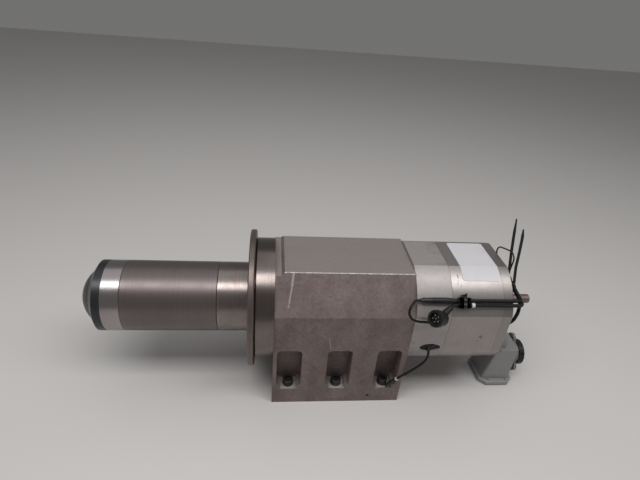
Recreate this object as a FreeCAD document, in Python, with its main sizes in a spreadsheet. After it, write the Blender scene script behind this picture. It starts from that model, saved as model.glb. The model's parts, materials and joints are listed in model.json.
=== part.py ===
import FreeCAD, Part
import math
import os
import re
import Sketcher
from FreeCAD import Placement, Rotation, Vector

# Motor spindle: a foot-mounted cast housing carries a long nose quill in front and a flanged motor behind.
# Frame: +X runs from the nose to the rear along the spindle axis, +Z is up, and the origin lies on the foot
# face, under the axis, in the middle of the six foot screws. Millimetres.

doc = FreeCAD.newDocument("MotorSpindle")

DRIVING = {
    # Cast housing and its foot
    "axis_height": 162, "housing_length": 228, "top_rise": 92, "foot_half_width": 97,
    "top_half_width": 56, "flank_rise": 33, "nose_strip": 10, "nose_strip_drop": 5, "cast_round": 3,
    "first_screw": 27.5, "last_screw": 30.5, "screw_inset": 13, "pocket_width": 42, "pocket_floor": 41,
    "pocket_top": 124, "pocket_depth": 26.5, "pocket_round": 8, "seat_width": 28.5, "seat_height": 34.5,
    "foot_hole": 6.75, "foot_shank": 6, "foot_head": 9, "foot_head_height": 12, "foot_screw_length": 28,
    "foot_key": 5, "oil_hole": 3, "oil_hole_depth": 14, "bore_limit": 70, "bore_wall": 27,
    "rear_step": 5,
    # Collar, flange disc and nose quill
    "collar_radius": 104, "collar_length": 31, "disc_gap": 1, "spigot_radius": 92, "disc_radius": 118,
    "disc_thickness": 10, "nose_radius": 60, "bare_length": 52, "sleeve_length": 153, "sleeve_wall": 4,
    "undercut": 1, "ring_length": 30, "ring_spigot": 3, "labyrinth_length": 22, "labyrinth_cone": 10,
    "labyrinth_tip": 44.5, "cap_radius": 44, "cap_height": 20.5, "cap_wall": 3, "cap_spigot_radius": 22.4, "cap_spigot": 12, "quill_tail_radius": 62,
    "quill_tail": 66, "quill_relief": 45, "disc_screw_circle": 82, "disc_screws": 8,
    "ring_screw_circle": 53, "ring_screws": 8, "edge_chamfer": 1.5, "fine_chamfer": 0.8,
    # Shaft, tool taper and bearings
    "journal_radius": 40, "shoulder_radius": 38, "front_seat": 32.5, "shaft_radius": 31, "tail_seat": 30,
    "motor_seat": 25, "taper_radius": 24, "taper_length": 32, "taper_end": 22.4, "relief_radius": 21.5,
    "relief_length": 24, "guide_radius": 12.3, "guide_length": 80, "chamber_radius": 20,
    "bearing_width": 18, "bearing_outer": 50, "spacer_width": 6, "ball_radius": 5.4, "front_balls": 14,
    "nut_width": 12, "nut_radius": 42, "tail_station": 40, "tail_outer": 47.5, "tail_rollers": 12,
    "roller_radius": 4.4, "roller_length": 10, "motor_bearing_width": 16, "motor_bearing_outer": 40,
    "motor_rollers": 12, "motor_roller_radius": 3.8, "motor_roller_length": 9, "seal_width": 6,
    "seal_radius": 44, "seal_station": 15, "land": 4.5,
    # Drawbar, its springs and the release piston
    "drawbar_radius": 12, "neck_radius": 8, "head_radius": 14, "head_length": 8, "head_station": 26,
    "gripper_radius": 17.6, "gripper_length": 20, "gripper_lip": 20.5, "gripper_slot": 2,
    "spring_count": 16, "spring_pitch": 5, "spring_thickness": 3, "spring_radius": 19, "spring_cone": 1.6,
    "spring_nut_length": 16, "spring_nut_radius": 19.6, "bush_length": 40, "release_stroke": 6,
    # Motor
    "corner_rise": 7, "adapter_length": 59, "motor_length": 88, "plate_thickness": 17,
    "adapter_spigot": 12, "adapter_wall": 28, "adapter_bore": 36, "motor_wall": 14, "boss_radius": 52,
    "boss_length": 9, "core_station": 5, "core_length": 60, "rotor_radius": 54, "air_gap": 1,
    "winding_length": 18, "winding_inner": 60, "winding_gap": 4, "end_ring": 8, "end_ring_inner": 36,
    "plate_screw_inset": 9, "adapter_screw_step": 7, "adapter_screws": 6,
    # Rear release cylinder and coaxial fitting
    "cylinder_radius": 36, "cylinder_length": 36, "cylinder_wall": 8, "piston_thickness": 10,
    "piston_push": 10, "fitting_radius": 8.5, "fitting_bore": 5, "fitting_length": 50, "fitting_hex": 11,
    "fitting_hex_length": 8,
    # Ports and sensor leads on the motor's flank
    "port_station": 36, "upper_port_rise": 28, "upper_port_radius": 6, "lower_port_drop": 31,
    "lower_port_half_length": 18, "lower_port_half_height": 9, "lower_port_end_radius": 5.5,
    "lower_port_depth": 8, "port_insert_face": 4,
    "lead_radius": 3, "lead_standoff": 5.2, "upper_lead_angle": 35.9, "lead_spacing": 7.4,
    "lead_overshoot": 10, "lead_bend": 6.5, "thin_lead_radius": 2, "inline_radius": 4.9, "inline_front": 3, "inline_seam": 24, "inline_rear": 62,
    "tape_station": 65, "tape_length": 22, "tape_wall": 2, "marker_length": 5, "marker_wall": 0.8,
    "tie_width": 4.8, "tie_thickness": 1.3, "tie_tip": 1.6, "tie_head": 7, "connector_radius": 12,
    "connector_length": 20, "grommet_radius": 13, "grommet_thickness": 3, "grommet_side": 17,
    "grommet_drop": 26,
    # Grey connector box behind the motor
    "box_gap": 10, "box_length": 57.5, "box_side": 29, "box_half_width": 28, "box_base": 2, "box_lid": 8,
    "box_top": 83, "box_foot": 3, "box_lean": 13, "box_slope": 24, "box_slope_drop": 9, "lid_overhang": 9,
    "lid_corner": 12, "neck_half_width": 20, "neck_bottom": 78, "neck_limit": 106, "neck_clear": 8,
    "neck_length": 44, "pad_thickness": 7, "pad_half_width": 26, "socket_height": 54, "boss_flange": 21,
    "flange_seat": 5, "flange_thickness": 10, "ear_angle": 55, "ear_reach": 40, "ear_half_width": 11,
    "ear_end_radius": 12, "socket_ring_radius": 24, "socket_ring_length": 9.3, "socket_radius": 19.5,
    "socket_wall": 2.5,
    # Clearances
    "seat_gap": 0.05, "running_gap": 0.3, "race_gap": 0.2, "face_gap": 0.3,
    # Worked out from the sizes above
    "screw_pitch": "=(housing_length - first_screw - last_screw) / 2",
    "housing_height": "=axis_height + top_rise", "flank_height": "=axis_height + flank_rise",
    "upper_port_height": "=axis_height + upper_port_rise",
    "lower_port_height": "=axis_height - lower_port_drop",
    "neck_top": "=min(neck_limit; axis_height - cylinder_radius - neck_clear)",
    "screw_line": "=foot_half_width - screw_inset", "motor_flat": "=foot_half_width",
    "motor_radius": "=foot_half_width + corner_rise", "motor_bore": "=motor_radius - motor_wall",
    "winding_outer": "=motor_bore - winding_gap", "plate_screw_circle": "=motor_radius - plate_screw_inset",
    "wall_bore": "=min(bore_limit; foot_half_width - bore_wall)", "rear_bore": "=wall_bore + rear_step",
    "adapter_screw_circle": "=rear_bore + adapter_screw_step", "grommet_rise": "=motor_flat - grommet_drop",
    "lower_lead_angle": "=upper_lead_angle - lead_spacing / (motor_radius + lead_standoff) * 180 / pi",
}

sizes = doc.addObject("Spreadsheet::Sheet", "Sizes")
for row, (alias, number) in enumerate(DRIVING.items(), start=1):
    sizes.set(f"A{row}", alias)
    sizes.set(f"B{row}", str(number))
    sizes.setAlias(f"B{row}", alias)
doc.recompute()

WORD = re.compile(r"[a-z][a-z0-9_]*")
NODES = []


def link(expression):
    """Turn the bare names of an expression into references to the sheet."""
    return WORD.sub(lambda hit: "Sizes." + hit.group() if hit.group() in DRIVING else hit.group(), str(expression))


def val(expression):
    """The present value of an expression on the sheet."""
    return float(doc.Sizes.evalExpression(link(expression)))


def span(start, end):
    """The distance between two stations."""
    return f"(({end}) - ({start}))"


def place(node, x, y="0", z="axis_height", rotation=None):
    if rotation is not None:
        node.Placement = Placement(Vector(), rotation)
    for axis, expression in zip("xyz", (x, y, z)):
        node.setExpression(f"Placement.Base.{axis}", link(expression))


def new_body(label, x, y="0", z="axis_height", rotation=None):
    body = doc.addObject("PartDesign::Body", label)
    body.Label = label
    place(body, x, y, z, rotation)
    NODES.append(body)
    return body


def origin_part(body, role):
    return next(part for part in body.Origin.OriginFeatures if part.Role == role)


def sketch_on(body, role, offset="0"):
    sketch = body.newObject("Sketcher::SketchObject", body.Name + "_sketch")
    sketch.AttachmentSupport = [(origin_part(body, role), "")]
    sketch.MapMode = "FlatFace"
    sketch.setExpression("AttachmentOffset.Base.z", link(offset))
    return sketch


def pin_down(sketch, geometry, end, u, v):
    for kind, expression in (("DistanceX", u), ("DistanceY", v)):
        index = sketch.addConstraint(Sketcher.Constraint(kind, -1, 1, geometry, end, val(expression)))
        sketch.setExpression(f"Constraints[{index}]", link(expression))


def set_radius(sketch, geometry, radius):
    index = sketch.addConstraint(Sketcher.Constraint("Radius", geometry, val(radius)))
    sketch.setExpression(f"Constraints[{index}]", link(radius))


def hold_centre(sketch, arc, kind, expression):
    """Keep the centre of a half circle level with its ends."""
    index = sketch.addConstraint(Sketcher.Constraint(kind, -1, 1, arc, 3, val(expression)))
    sketch.setExpression(f"Constraints[{index}]", link(expression))


def outline(sketch, corners):
    """Close a loop of corners (u, v). A corner (u, v, radius, side) starts an arc to the next corner, which
    bulges to the left of the way there for side 1 and to the right for side -1."""
    spots = [Vector(val(c[0]), val(c[1]), 0) for c in corners]
    ends = []
    for corner, a, b in zip(corners, spots, spots[1:] + spots[:1]):
        if len(corner) == 2:
            ends.append((sketch.addGeometry(Part.LineSegment(a, b), False), 1, 2))
            continue
        radius, side = val(corner[2]), corner[3]
        chord = b - a
        rise = radius - math.sqrt(max(radius * radius - (chord.Length / 2) ** 2, 0))
        left = Vector(-chord.y, chord.x, 0).normalize()
        arc = sketch.addGeometry(Part.Arc(a, (a + b) * 0.5 + left * (side * rise), b), False)
        starts_here = (sketch.getPoint(arc, 1) - a).Length < (sketch.getPoint(arc, 2) - a).Length
        ends.append((arc, 1, 2) if starts_here else (arc, 2, 1))
        if radius > chord.Length / 2 + 1e-6:
            set_radius(sketch, arc, corner[2])
        else:
            hold_centre(sketch, arc, *(("DistanceY", corner[1]) if chord.x else ("DistanceX", corner[0])))
    for here, after in zip(ends, ends[1:] + ends[:1]):
        sketch.addConstraint(Sketcher.Constraint("Coincident", here[0], here[2], after[0], after[1]))
    for (geometry, start, _), corner in zip(ends, corners):
        pin_down(sketch, geometry, start, corner[0], corner[1])


def circle(sketch, u, v, radius):
    round_edge = Part.Circle(Vector(val(u), val(v), 0), Vector(0, 0, 1), val(radius))
    geometry = sketch.addGeometry(round_edge, False)
    pin_down(sketch, geometry, 3, u, v)
    set_radius(sketch, geometry, radius)


def box_corners(u0, v0, u1, v1):
    return [(u0, v0), (u1, v0), (u1, v1), (u0, v1)]


def rounded_corners(u0, v0, u1, v1, radius):
    """A rectangle, drawn anticlockwise, with equal round corners."""
    return [(f"{u0} + {radius}", v0), (f"{u1} - {radius}", v0, radius, -1), (u1, f"{v0} + {radius}"),
            (u1, f"{v1} - {radius}", radius, -1), (f"{u1} - {radius}", v1), (f"{u0} + {radius}", v1, radius, -1),
            (u0, f"{v1} - {radius}"), (u0, f"{v0} + {radius}", radius, -1)]


def oval_measures(half_length, half_height, end_radius):
    """The radius of an oval's long sides, and how far across and up they meet its ends."""
    reach = f"({half_length} - {end_radius})"
    side = f"(({reach} ^ 2 + {half_height} ^ 2 - {end_radius} ^ 2) / (2 * ({half_height} - {end_radius})))"
    across = f"({reach} * (1 + {end_radius} / ({side} - {end_radius})))"
    rise = f"({end_radius} * ({side} - {half_height}) / ({side} - {end_radius}))"
    return side, across, rise


def oval_corners(u, v, half_length, half_height, end_radius):
    """An oval along u, of four arcs that run smoothly into each other."""
    side, across, rise = oval_measures(half_length, half_height, end_radius)
    return [(f"{u} - {across}", f"{v} - {rise}", side, -1), (f"{u} + {across}", f"{v} - {rise}", end_radius, -1),
            (f"{u} + {across}", f"{v} + {rise}", side, -1), (f"{u} - {across}", f"{v} + {rise}", end_radius, -1)]


def ear_corners(angle, reach, half_width, end_radius):
    """A bar with round ends through the origin, turned by the angle."""
    def spot(way, side):
        along, aside = f"{way} * ({reach} - {half_width})", f"{side} * {half_width}"
        return (f"({along}) * cos({angle}) - ({aside}) * sin({angle})",
                f"({along}) * sin({angle}) + ({aside}) * cos({angle})")
    return [spot(-1, -1), spot(1, -1) + (end_radius, -1), spot(1, 1), spot(-1, 1) + (end_radius, -1)]


def ring_corners(x, length, inner, outer):
    return box_corners(x, inner, f"{x} + {length}", outer)


def hexagon(u, v, half_width):
    across = f"({half_width}) / cos(30)"
    return [(f"{u} + {across} * cos({60 * i})", f"{v} + {across} * sin({60 * i})") for i in range(6)]


def feature(body, kind, sketch, length, into_normal=False, symmetric=False):
    """Pad or pocket a sketch; into_normal sends it along the sketch plane's normal."""
    made = body.newObject("PartDesign::" + kind, f"{body.Name}_{kind}")
    made.Profile = sketch
    made.setExpression("Length", link(length))
    if symmetric:
        made.SideType = "Symmetric"
    elif kind == "Pocket":
        made.Reversed = into_normal
    else:
        made.Reversed = not into_normal
    sketch.Visibility = False
    return made


def revolve(body, sketch, kind="Revolution", axis="H_Axis"):
    made = body.newObject("PartDesign::" + kind, f"{body.Name}_{kind}")
    made.Profile = sketch
    made.ReferenceAxis = (sketch, [axis])
    made.Angle = 360
    return made


def pattern(body, originals, count, role="X_Axis"):
    made = body.newObject("PartDesign::PolarPattern", body.Name + "_ring")
    made.Originals = originals
    made.Axis = (origin_part(body, role), [""])
    made.Angle = 360
    made.setExpression("Occurrences", link(count))
    body.Tip = made
    return made


def turned(label, station, *loops, rotation=None, y="0", z="axis_height"):
    """A piece turned about the spindle axis; its loops are (distance along the axis, radius) corners."""
    body = new_body(label, station, y, z, rotation)
    sketch = sketch_on(body, "XZ_Plane")
    for corners in loops:
        outline(sketch, corners)
    revolve(body, sketch)
    return body


def groove(body, corners):
    sketch = sketch_on(body, "XZ_Plane")
    outline(sketch, corners)
    return revolve(body, sketch, "Groove")


def axial_holes(body, face, circle_radius, count, *steps, turn="0", inward=True):
    """Holes round the axis from a face at the distance face; each step is (radius, depth)."""
    cuts = []
    for radius, depth in steps:
        sketch = sketch_on(body, "YZ_Plane", face)
        circle(sketch, f"({circle_radius}) * sin({turn})", f"({circle_radius}) * cos({turn})", radius)
        cuts.append(feature(body, "Pocket", sketch, depth, into_normal=inward))
    pattern(body, cuts, count)


def soften(body, kind, size, wanted):
    """Chamfer or fillet the edges of the body that the test picks."""
    doc.recompute()
    base = body.Tip
    names = [f"Edge{i}" for i, edge in enumerate(base.Shape.Edges, start=1) if wanted(edge)]
    made = body.newObject("PartDesign::" + kind, f"{body.Name}_{kind}")
    made.Base = (base, names)
    made.setExpression("Size" if kind == "Chamfer" else "Radius", link(size))


def farthest(edge):
    """The greatest distance of an edge from the axis along Y or Z."""
    box = edge.BoundBox
    return max(abs(box.YMin), abs(box.YMax), abs(box.ZMin), abs(box.ZMax))


def cap_screws(label, station, circle_radius, count, shank, length, head, head_height, key, turn="0", flip=False):
    """A circle of socket head screws: heads at the station, shanks towards +X, or -X when flipped."""
    spin = Rotation(Vector(1, 0, 0), -val(turn))
    body = new_body(label, station, rotation=Rotation(Vector(0, 0, 1), 180) * spin if flip else spin)
    sketch = sketch_on(body, "XZ_Plane")
    axis = sketch.addGeometry(Part.LineSegment(Vector(0, val(circle_radius), 0),
                                               Vector(val(length), val(circle_radius), 0)), True)
    pin_down(sketch, axis, 1, "0", circle_radius)
    pin_down(sketch, axis, 2, length, circle_radius)
    end = f"{head_height} + {length}"
    outline(sketch, [("0", circle_radius), ("0", f"{circle_radius} + {head}"),
                     (head_height, f"{circle_radius} + {head}"), (head_height, f"{circle_radius} + {shank}"),
                     (end, f"{circle_radius} + {shank}"), (end, circle_radius)])
    turn_feature = revolve(body, sketch, axis="Axis0")
    socket = sketch_on(body, "YZ_Plane")
    outline(socket, hexagon("0", circle_radius, key))
    cut = feature(body, "Pocket", socket, f"{head_height} * 0.5", into_normal=True)
    pattern(body, [turn_feature, cut], count)
    return body


def plain(label, shape, x="0", y="0", z="0"):
    """A node whose shape is worked out here, in the object's own frame."""
    node = doc.addObject("Part::Feature", label)
    node.Label = label
    node.Shape = shape
    node.Placement = Placement(Vector(val(x), val(y), val(z)), Rotation())
    NODES.append(node)
    return node


# Stations along the spindle axis, each from its neighbour
FACE = "-(first_screw + screw_pitch)"
COLLAR = f"{FACE} - collar_length - disc_gap"
DISC = f"{COLLAR} - disc_thickness"
SLEEVE_END = f"{DISC} - bare_length"
QUILL = f"{SLEEVE_END} - sleeve_length"
RING = f"{QUILL} - ring_length"
NOSE = f"{RING} - labyrinth_length"
BEARING_1 = f"{QUILL} + ring_spigot"
BEARING_2 = f"{BEARING_1} + bearing_width + spacer_width"
NUT = f"{BEARING_2} + bearing_width"
TAIL = f"{FACE} + tail_station"
MOTOR = f"{FACE} + housing_length"
BARREL = f"{MOTOR} + adapter_length"
PLATE = f"{BARREL} + motor_length"
REAR = f"{PLATE} + plate_thickness"
CORE = f"{BARREL} + core_station"
MOTOR_BEARING = f"{REAR} - motor_bearing_width - 4"
SPRINGS = f"{NOSE} + taper_length + relief_length + guide_length"
SPRING_NUT = f"{SPRINGS} + spring_count * spring_pitch"


# Cast housing

def spindle_housing():
    body = new_body("spindle_housing", FACE)
    section = sketch_on(body, "YZ_Plane")
    foot, shoulder, top = "-axis_height", "flank_height - axis_height", "housing_height - axis_height"
    outline(section, [("-foot_half_width", foot), ("foot_half_width", foot), ("foot_half_width", shoulder),
                      ("top_half_width", top), ("-top_half_width", top), ("-foot_half_width", shoulder)])
    feature(body, "Pad", section, "housing_length", into_normal=True)

    strip = sketch_on(body, "XZ_Plane")
    ramp_end = "nose_strip + nose_strip_drop"
    outline(strip, [("-1", f"{top} - nose_strip_drop"), ("nose_strip", f"{top} - nose_strip_drop"),
                    (ramp_end, top), (ramp_end, f"{top} + 1"), ("-1", f"{top} + 1")])
    feature(body, "Pocket", strip, "3 * foot_half_width", symmetric=True)

    def long_edge(edge):
        box = edge.BoundBox
        return box.XLength > val("housing_length") * 0.9 and box.ZMin > val("-axis_height") + 1
    soften(body, "Fillet", "cast_round", long_edge)

    groove(body, [("-1", "0"), ("-1", "quill_tail_radius + seat_gap"), ("quill_tail", "quill_tail_radius + seat_gap"),
                  ("quill_tail", "wall_bore"), ("housing_length - adapter_spigot - 1", "wall_bore"),
                  ("housing_length - adapter_spigot - 1", "rear_bore + seat_gap"),
                  ("housing_length + 1", "rear_bore + seat_gap"), ("housing_length + 1", "0")])

    screws = [f"first_screw + {i} * screw_pitch" for i in range(3)]
    pockets = sketch_on(body, "XZ_Plane", "foot_half_width + 1")
    for x in screws:
        outline(pockets, rounded_corners(f"{x} - pocket_width / 2", "pocket_floor - axis_height",
                                         f"{x} + pocket_width / 2", "pocket_top - axis_height", "pocket_round"))
    windows = feature(body, "Pocket", pockets, "pocket_depth + 1")
    seats = sketch_on(body, "XZ_Plane", "foot_half_width + 1")
    for x in screws:
        outline(seats, box_corners(f"{x} - seat_width / 2", "seat_height - axis_height", f"{x} + seat_width / 2",
                                   "pocket_floor + pocket_round - axis_height"))
    spots = feature(body, "Pocket", seats, "pocket_depth + 1")
    holes = sketch_on(body, "XY_Plane", "-axis_height")
    for x in screws:
        circle(holes, x, "-screw_line", "foot_hole")
    drilled = feature(body, "Pocket", holes, "seat_height + 1", into_normal=True)
    both = body.newObject("PartDesign::Mirrored", "both_flanks")
    both.Originals = [windows, spots, drilled]
    both.MirrorPlane = (origin_part(body, "XZ_Plane"), [""])
    body.Tip = both

    side_hole = sketch_on(body, "XZ_Plane", "foot_half_width + 1")
    circle(side_hole, "first_screw + 1.69 * screw_pitch", "14 - axis_height", "oil_hole")
    feature(body, "Pocket", side_hole, "oil_hole_depth")
    nose_hole = sketch_on(body, "YZ_Plane", "-1")
    circle(nose_hole, "8 - foot_half_width", "(pocket_floor + pocket_top) / 2 - axis_height", "oil_hole")
    feature(body, "Pocket", nose_hole, "oil_hole_depth", into_normal=True)
    axial_holes(body, "housing_length + 1", "adapter_screw_circle", "adapter_screws", ("4.2", "20"), turn="30",
                inward=False)
    return body


def foot_screws():
    """Six socket head screws, three down each flank."""
    body = new_body("foot_screws", "0", z="seat_height")
    sketch = sketch_on(body, "XZ_Plane", "screw_line")
    axis = sketch.addGeometry(Part.LineSegment(Vector(-val("screw_pitch"), 0, 0),
                                               Vector(-val("screw_pitch"), 10, 0)), True)
    pin_down(sketch, axis, 1, "-screw_pitch", "0")
    pin_down(sketch, axis, 2, "-screw_pitch", "foot_head_height")
    head, shank = "foot_head - screw_pitch", "foot_shank - screw_pitch"
    outline(sketch, [("-screw_pitch", "-foot_screw_length"), (f"{shank} - fine_chamfer", "-foot_screw_length"),
                     (shank, "fine_chamfer - foot_screw_length"), (shank, "0"), (head, "0"),
                     (head, "foot_head_height - fine_chamfer"), (f"{head} - fine_chamfer", "foot_head_height"),
                     ("-screw_pitch", "foot_head_height")])
    screw = revolve(body, sketch, axis="Axis0")
    socket = sketch_on(body, "XY_Plane", "foot_head_height")
    outline(socket, hexagon("-screw_pitch", "-screw_line", "foot_key"))
    cut = feature(body, "Pocket", socket, "foot_head_height / 2")
    every = doc.addObject("PartDesign::MultiTransform", "foot_screw_rows")
    along = doc.addObject("PartDesign::LinearPattern", "along_flank")
    along.Direction = (origin_part(body, "X_Axis"), [""])
    along.setExpression("Length", link("2 * screw_pitch"))
    along.Occurrences = 3
    across = doc.addObject("PartDesign::Mirrored", "across_foot")
    across.MirrorPlane = (origin_part(body, "XZ_Plane"), [""])
    body.addObject(every)
    every.Originals = [screw, cut]
    every.Transformations = [along, across]
    body.Tip = every
    return body


# Collar, disc and quill

def nose_pieces():
    fit = "quill_tail_radius + seat_gap"
    full = "collar_length + disc_gap"
    turned("front_collar", COLLAR, [
        ("0", fit), ("0", "spigot_radius"), ("disc_gap", "spigot_radius"),
        ("disc_gap", "collar_radius - edge_chamfer"), ("disc_gap + edge_chamfer", "collar_radius"),
        (full, "collar_radius"), (full, fit)])
    collar = NODES[-1]
    axial_holes(collar, "0", "disc_screw_circle", "disc_screws", ("3.2", "18"), turn="22.5")

    disc = turned("flange_disc", DISC, [
        ("0", fit), ("0", "disc_radius - edge_chamfer"), ("edge_chamfer", "disc_radius"),
        ("disc_thickness - edge_chamfer", "disc_radius"), ("disc_thickness", "disc_radius - edge_chamfer"),
        ("disc_thickness", fit)])
    axial_holes(disc, "0", "disc_screw_circle", "disc_screws", ("5.5", "6.3"), ("3.2", "disc_thickness"), turn="22.5")
    cap_screws("disc_screws", f"{DISC} + 0.3", "disc_screw_circle", "disc_screws", "3", "20", "5", "6", "2.5",
               turn="22.5")

    end = f"{span(QUILL, FACE)} + quill_tail"
    seat = f"{span(QUILL, NUT)} + 1"
    tail = span(QUILL, TAIL)
    core = "nose_radius - sleeve_wall"
    disc_face = span(QUILL, DISC)
    turned("quill", QUILL, [
        ("0", "bearing_outer + seat_gap"), ("0", core), ("sleeve_length", core),
        ("sleeve_length", "nose_radius - fine_chamfer"), ("sleeve_length + fine_chamfer", "nose_radius"),
        (disc_face, "nose_radius"), (disc_face, "quill_tail_radius"),
        (end, "quill_tail_radius"), (end, "tail_outer + seat_gap"), (tail, "tail_outer + seat_gap"),
        (tail, "quill_relief - 1"), (f"{tail} - 8", "quill_relief - 1"), (f"{tail} - 8", "quill_relief"),
        (seat, "quill_relief"), (seat, "bearing_outer + seat_gap")])
    quill = NODES[-1]
    band_hole = sketch_on(quill, "XY_Plane", "-nose_radius - 1")
    circle(band_hole, f"{span(QUILL, DISC)} - 7", "0", "2.5")
    feature(quill, "Pocket", band_hole, "6", into_normal=True)
    axial_holes(quill, "0", "ring_screw_circle", "ring_screws", ("1.7", "14"))

    turned("nose_sleeve", QUILL, [
        ("0", f"{core} + seat_gap"), ("0", "nose_radius - fine_chamfer"), ("fine_chamfer", "nose_radius"),
        ("sleeve_length - fine_chamfer", "nose_radius"), ("sleeve_length", "nose_radius - fine_chamfer"),
        ("sleeve_length", f"{core} + seat_gap")])

    bore = "shoulder_radius + running_gap * 2"
    seal_end = "seal_station + seal_width"
    spigot_end = "ring_length + ring_spigot"
    ring = turned("front_ring", RING, [
        ("0", bore), ("0", "nose_radius - fine_chamfer"), ("fine_chamfer", "nose_radius"),
        ("ring_length - fine_chamfer", "nose_radius"), ("ring_length", "nose_radius - fine_chamfer"),
        ("ring_length", "bearing_outer"), (spigot_end, "bearing_outer"), (spigot_end, "bearing_outer - 4"),
        (f"{seal_end} + 3", "bearing_outer - 4"), (f"{seal_end} + 3", bore), (seal_end, bore),
        (seal_end, "seal_radius"), ("seal_station", "seal_radius"), ("seal_station", bore)])
    axial_holes(ring, "0", "ring_screw_circle", "ring_screws", ("3.6", "ring_length - 8"), ("2.1", "ring_length + 1"))
    cap_screws("front_ring_screws", f"{RING} + ring_length - 12", "ring_screw_circle", "ring_screws", "1.6", "18",
               "3.5", "4", "1.5")
    turned("shaft_seal", f"{RING} + seal_station", ring_corners("0", "seal_width", f"{bore} + 0.1", "seal_radius - seat_gap"))

    mouth = "journal_radius + running_gap"
    labyrinth = turned("labyrinth_ring", NOSE, [
        ("0", mouth), ("0", "labyrinth_tip"), ("labyrinth_cone", "nose_radius"), ("labyrinth_length", "nose_radius"),
        ("labyrinth_length", mouth)])
    axial_holes(labyrinth, "-1", "52", "2", ("2.5", "12"), turn="90")

    dome = "(cap_radius * cap_radius + cap_height * cap_height) / (2 * cap_height)"
    base = "cap_height"
    inner = "cap_spigot_radius - cap_wall"
    turned("nose_cap", f"{NOSE} - face_gap - cap_height", [
        ("0", "0", dome, 1), (base, "cap_radius"), (base, "cap_spigot_radius"),
        (f"{base} + cap_spigot", "cap_spigot_radius"), (f"{base} + cap_spigot", inner), (base, inner), (base, "0")])


# Bearings

def race_ring(x, width, inner, outer, pitch, groove_radius, outward):
    """One bearing ring with a round race; outward is true for the inner ring."""
    middle = f"{x} + ({width}) / 2"
    edge = outer if outward else inner
    gap = f"({edge}) - ({pitch})" if not outward else f"({pitch}) - ({edge})"
    half = f"sqrt(({groove_radius}) * ({groove_radius}) - ({gap}) * ({gap}))"
    if outward:
        return [(x, inner), (f"{x} + {width}", inner), (f"{x} + {width}", outer),
                (f"{middle} + {half}", outer, groove_radius, 1), (f"{middle} - {half}", outer), (x, outer)]
    return [(x, inner), (f"{middle} - {half}", inner, groove_radius, 1), (f"{middle} + {half}", inner),
            (f"{x} + {width}", inner), (f"{x} + {width}", outer), (x, outer)]


def front_bearings():
    """A pair of ball bearings with a spacer between their rings."""
    pitch = "(front_seat + bearing_outer) / 2"
    groove_radius = "ball_radius + race_gap"
    second = "bearing_width + spacer_width"
    turned("front_outer_rings", BEARING_1, *[
        race_ring(x, "bearing_width", f"{pitch} + ball_radius - 2", "bearing_outer", pitch, groove_radius, False)
        for x in ("0", second)])
    turned("front_inner_rings", BEARING_1, *[
        race_ring(x, "bearing_width", "front_seat + seat_gap", f"{pitch} - ball_radius + 2", pitch, groove_radius, True)
        for x in ("0", second)])
    turned("outer_spacer", f"{BEARING_1} + bearing_width",
           ring_corners("0", "spacer_width", "bearing_outer - 5", "bearing_outer"))
    turned("inner_spacer", f"{BEARING_1} + bearing_width",
           ring_corners("0", "spacer_width", "front_seat + seat_gap", "front_seat + 4.5"))
    body = new_body("front_balls", BEARING_1)
    balls = []
    for x in ("bearing_width / 2", f"{second} + bearing_width / 2"):
        sketch = sketch_on(body, "XZ_Plane")
        axis = sketch.addGeometry(Part.LineSegment(Vector(val(x) - 5, val(pitch), 0),
                                                   Vector(val(x) + 5, val(pitch), 0)), True)
        pin_down(sketch, axis, 1, f"{x} - ball_radius", pitch)
        pin_down(sketch, axis, 2, f"{x} + ball_radius", pitch)
        outline(sketch, [(f"{x} - ball_radius", pitch), (f"{x} + ball_radius", pitch, "ball_radius", 1)])
        balls.append(revolve(body, sketch, axis="Axis0"))
    pattern(body, balls, "front_balls")
    nut = turned("bearing_nut", NUT, [
        ("0", "front_seat + seat_gap"), ("0", "nut_radius - 3"), ("fine_chamfer", "nut_radius - 2"),
        ("nut_width - 2", "nut_radius"), ("nut_width", "nut_radius"), ("nut_width", "front_seat + seat_gap")])
    slot = sketch_on(nut, "YZ_Plane", "nut_width")
    outline(slot, box_corners("-4", "nut_radius - 4", "4", "nut_radius + 2"))
    pattern(nut, [feature(nut, "Pocket", slot, "nut_width / 2")], "4")


def rear_bearings():
    """The tail and motor bearings: lipped outer rings, plain inner rings and their rollers."""
    kinds = [("0", "bearing_width", "tail_seat", "tail_outer", "roller_radius", "roller_length", "tail_rollers"),
             (span(TAIL, MOTOR_BEARING), "motor_bearing_width", "motor_seat", "motor_bearing_outer",
              "motor_roller_radius", "motor_roller_length", "motor_rollers")]
    outer_rings, inner_rings = [], []
    for x, width, inner, outer, roller, length, count in kinds:
        pitch = f"({inner} + {outer}) / 2"
        race, lip = f"{pitch} + {roller} + race_gap", f"({width} - {length}) / 2 - race_gap"
        deep = f"{race} - 1.5"
        outer_rings.append([
            (x, deep), (f"{x} + {lip}", deep), (f"{x} + {lip}", race), (f"{x} + {width} - ({lip})", race),
            (f"{x} + {width} - ({lip})", deep), (f"{x} + {width}", deep), (f"{x} + {width}", outer), (x, outer)])
        inner_rings.append(ring_corners(x, width, f"{inner} + seat_gap", f"{pitch} - {roller} - race_gap"))
    turned("rear_outer_rings", TAIL, *outer_rings)
    turned("rear_inner_rings", TAIL, *inner_rings)
    body = new_body("rear_rollers", TAIL)
    for x, width, inner, outer, roller, length, count in kinds:
        sketch = sketch_on(body, "YZ_Plane", f"{x} + ({width} - {length}) / 2")
        circle(sketch, "0", f"({inner} + {outer}) / 2", roller)
        pattern(body, [feature(body, "Pad", sketch, length, into_normal=True)], count)


# Rotating parts

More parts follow.
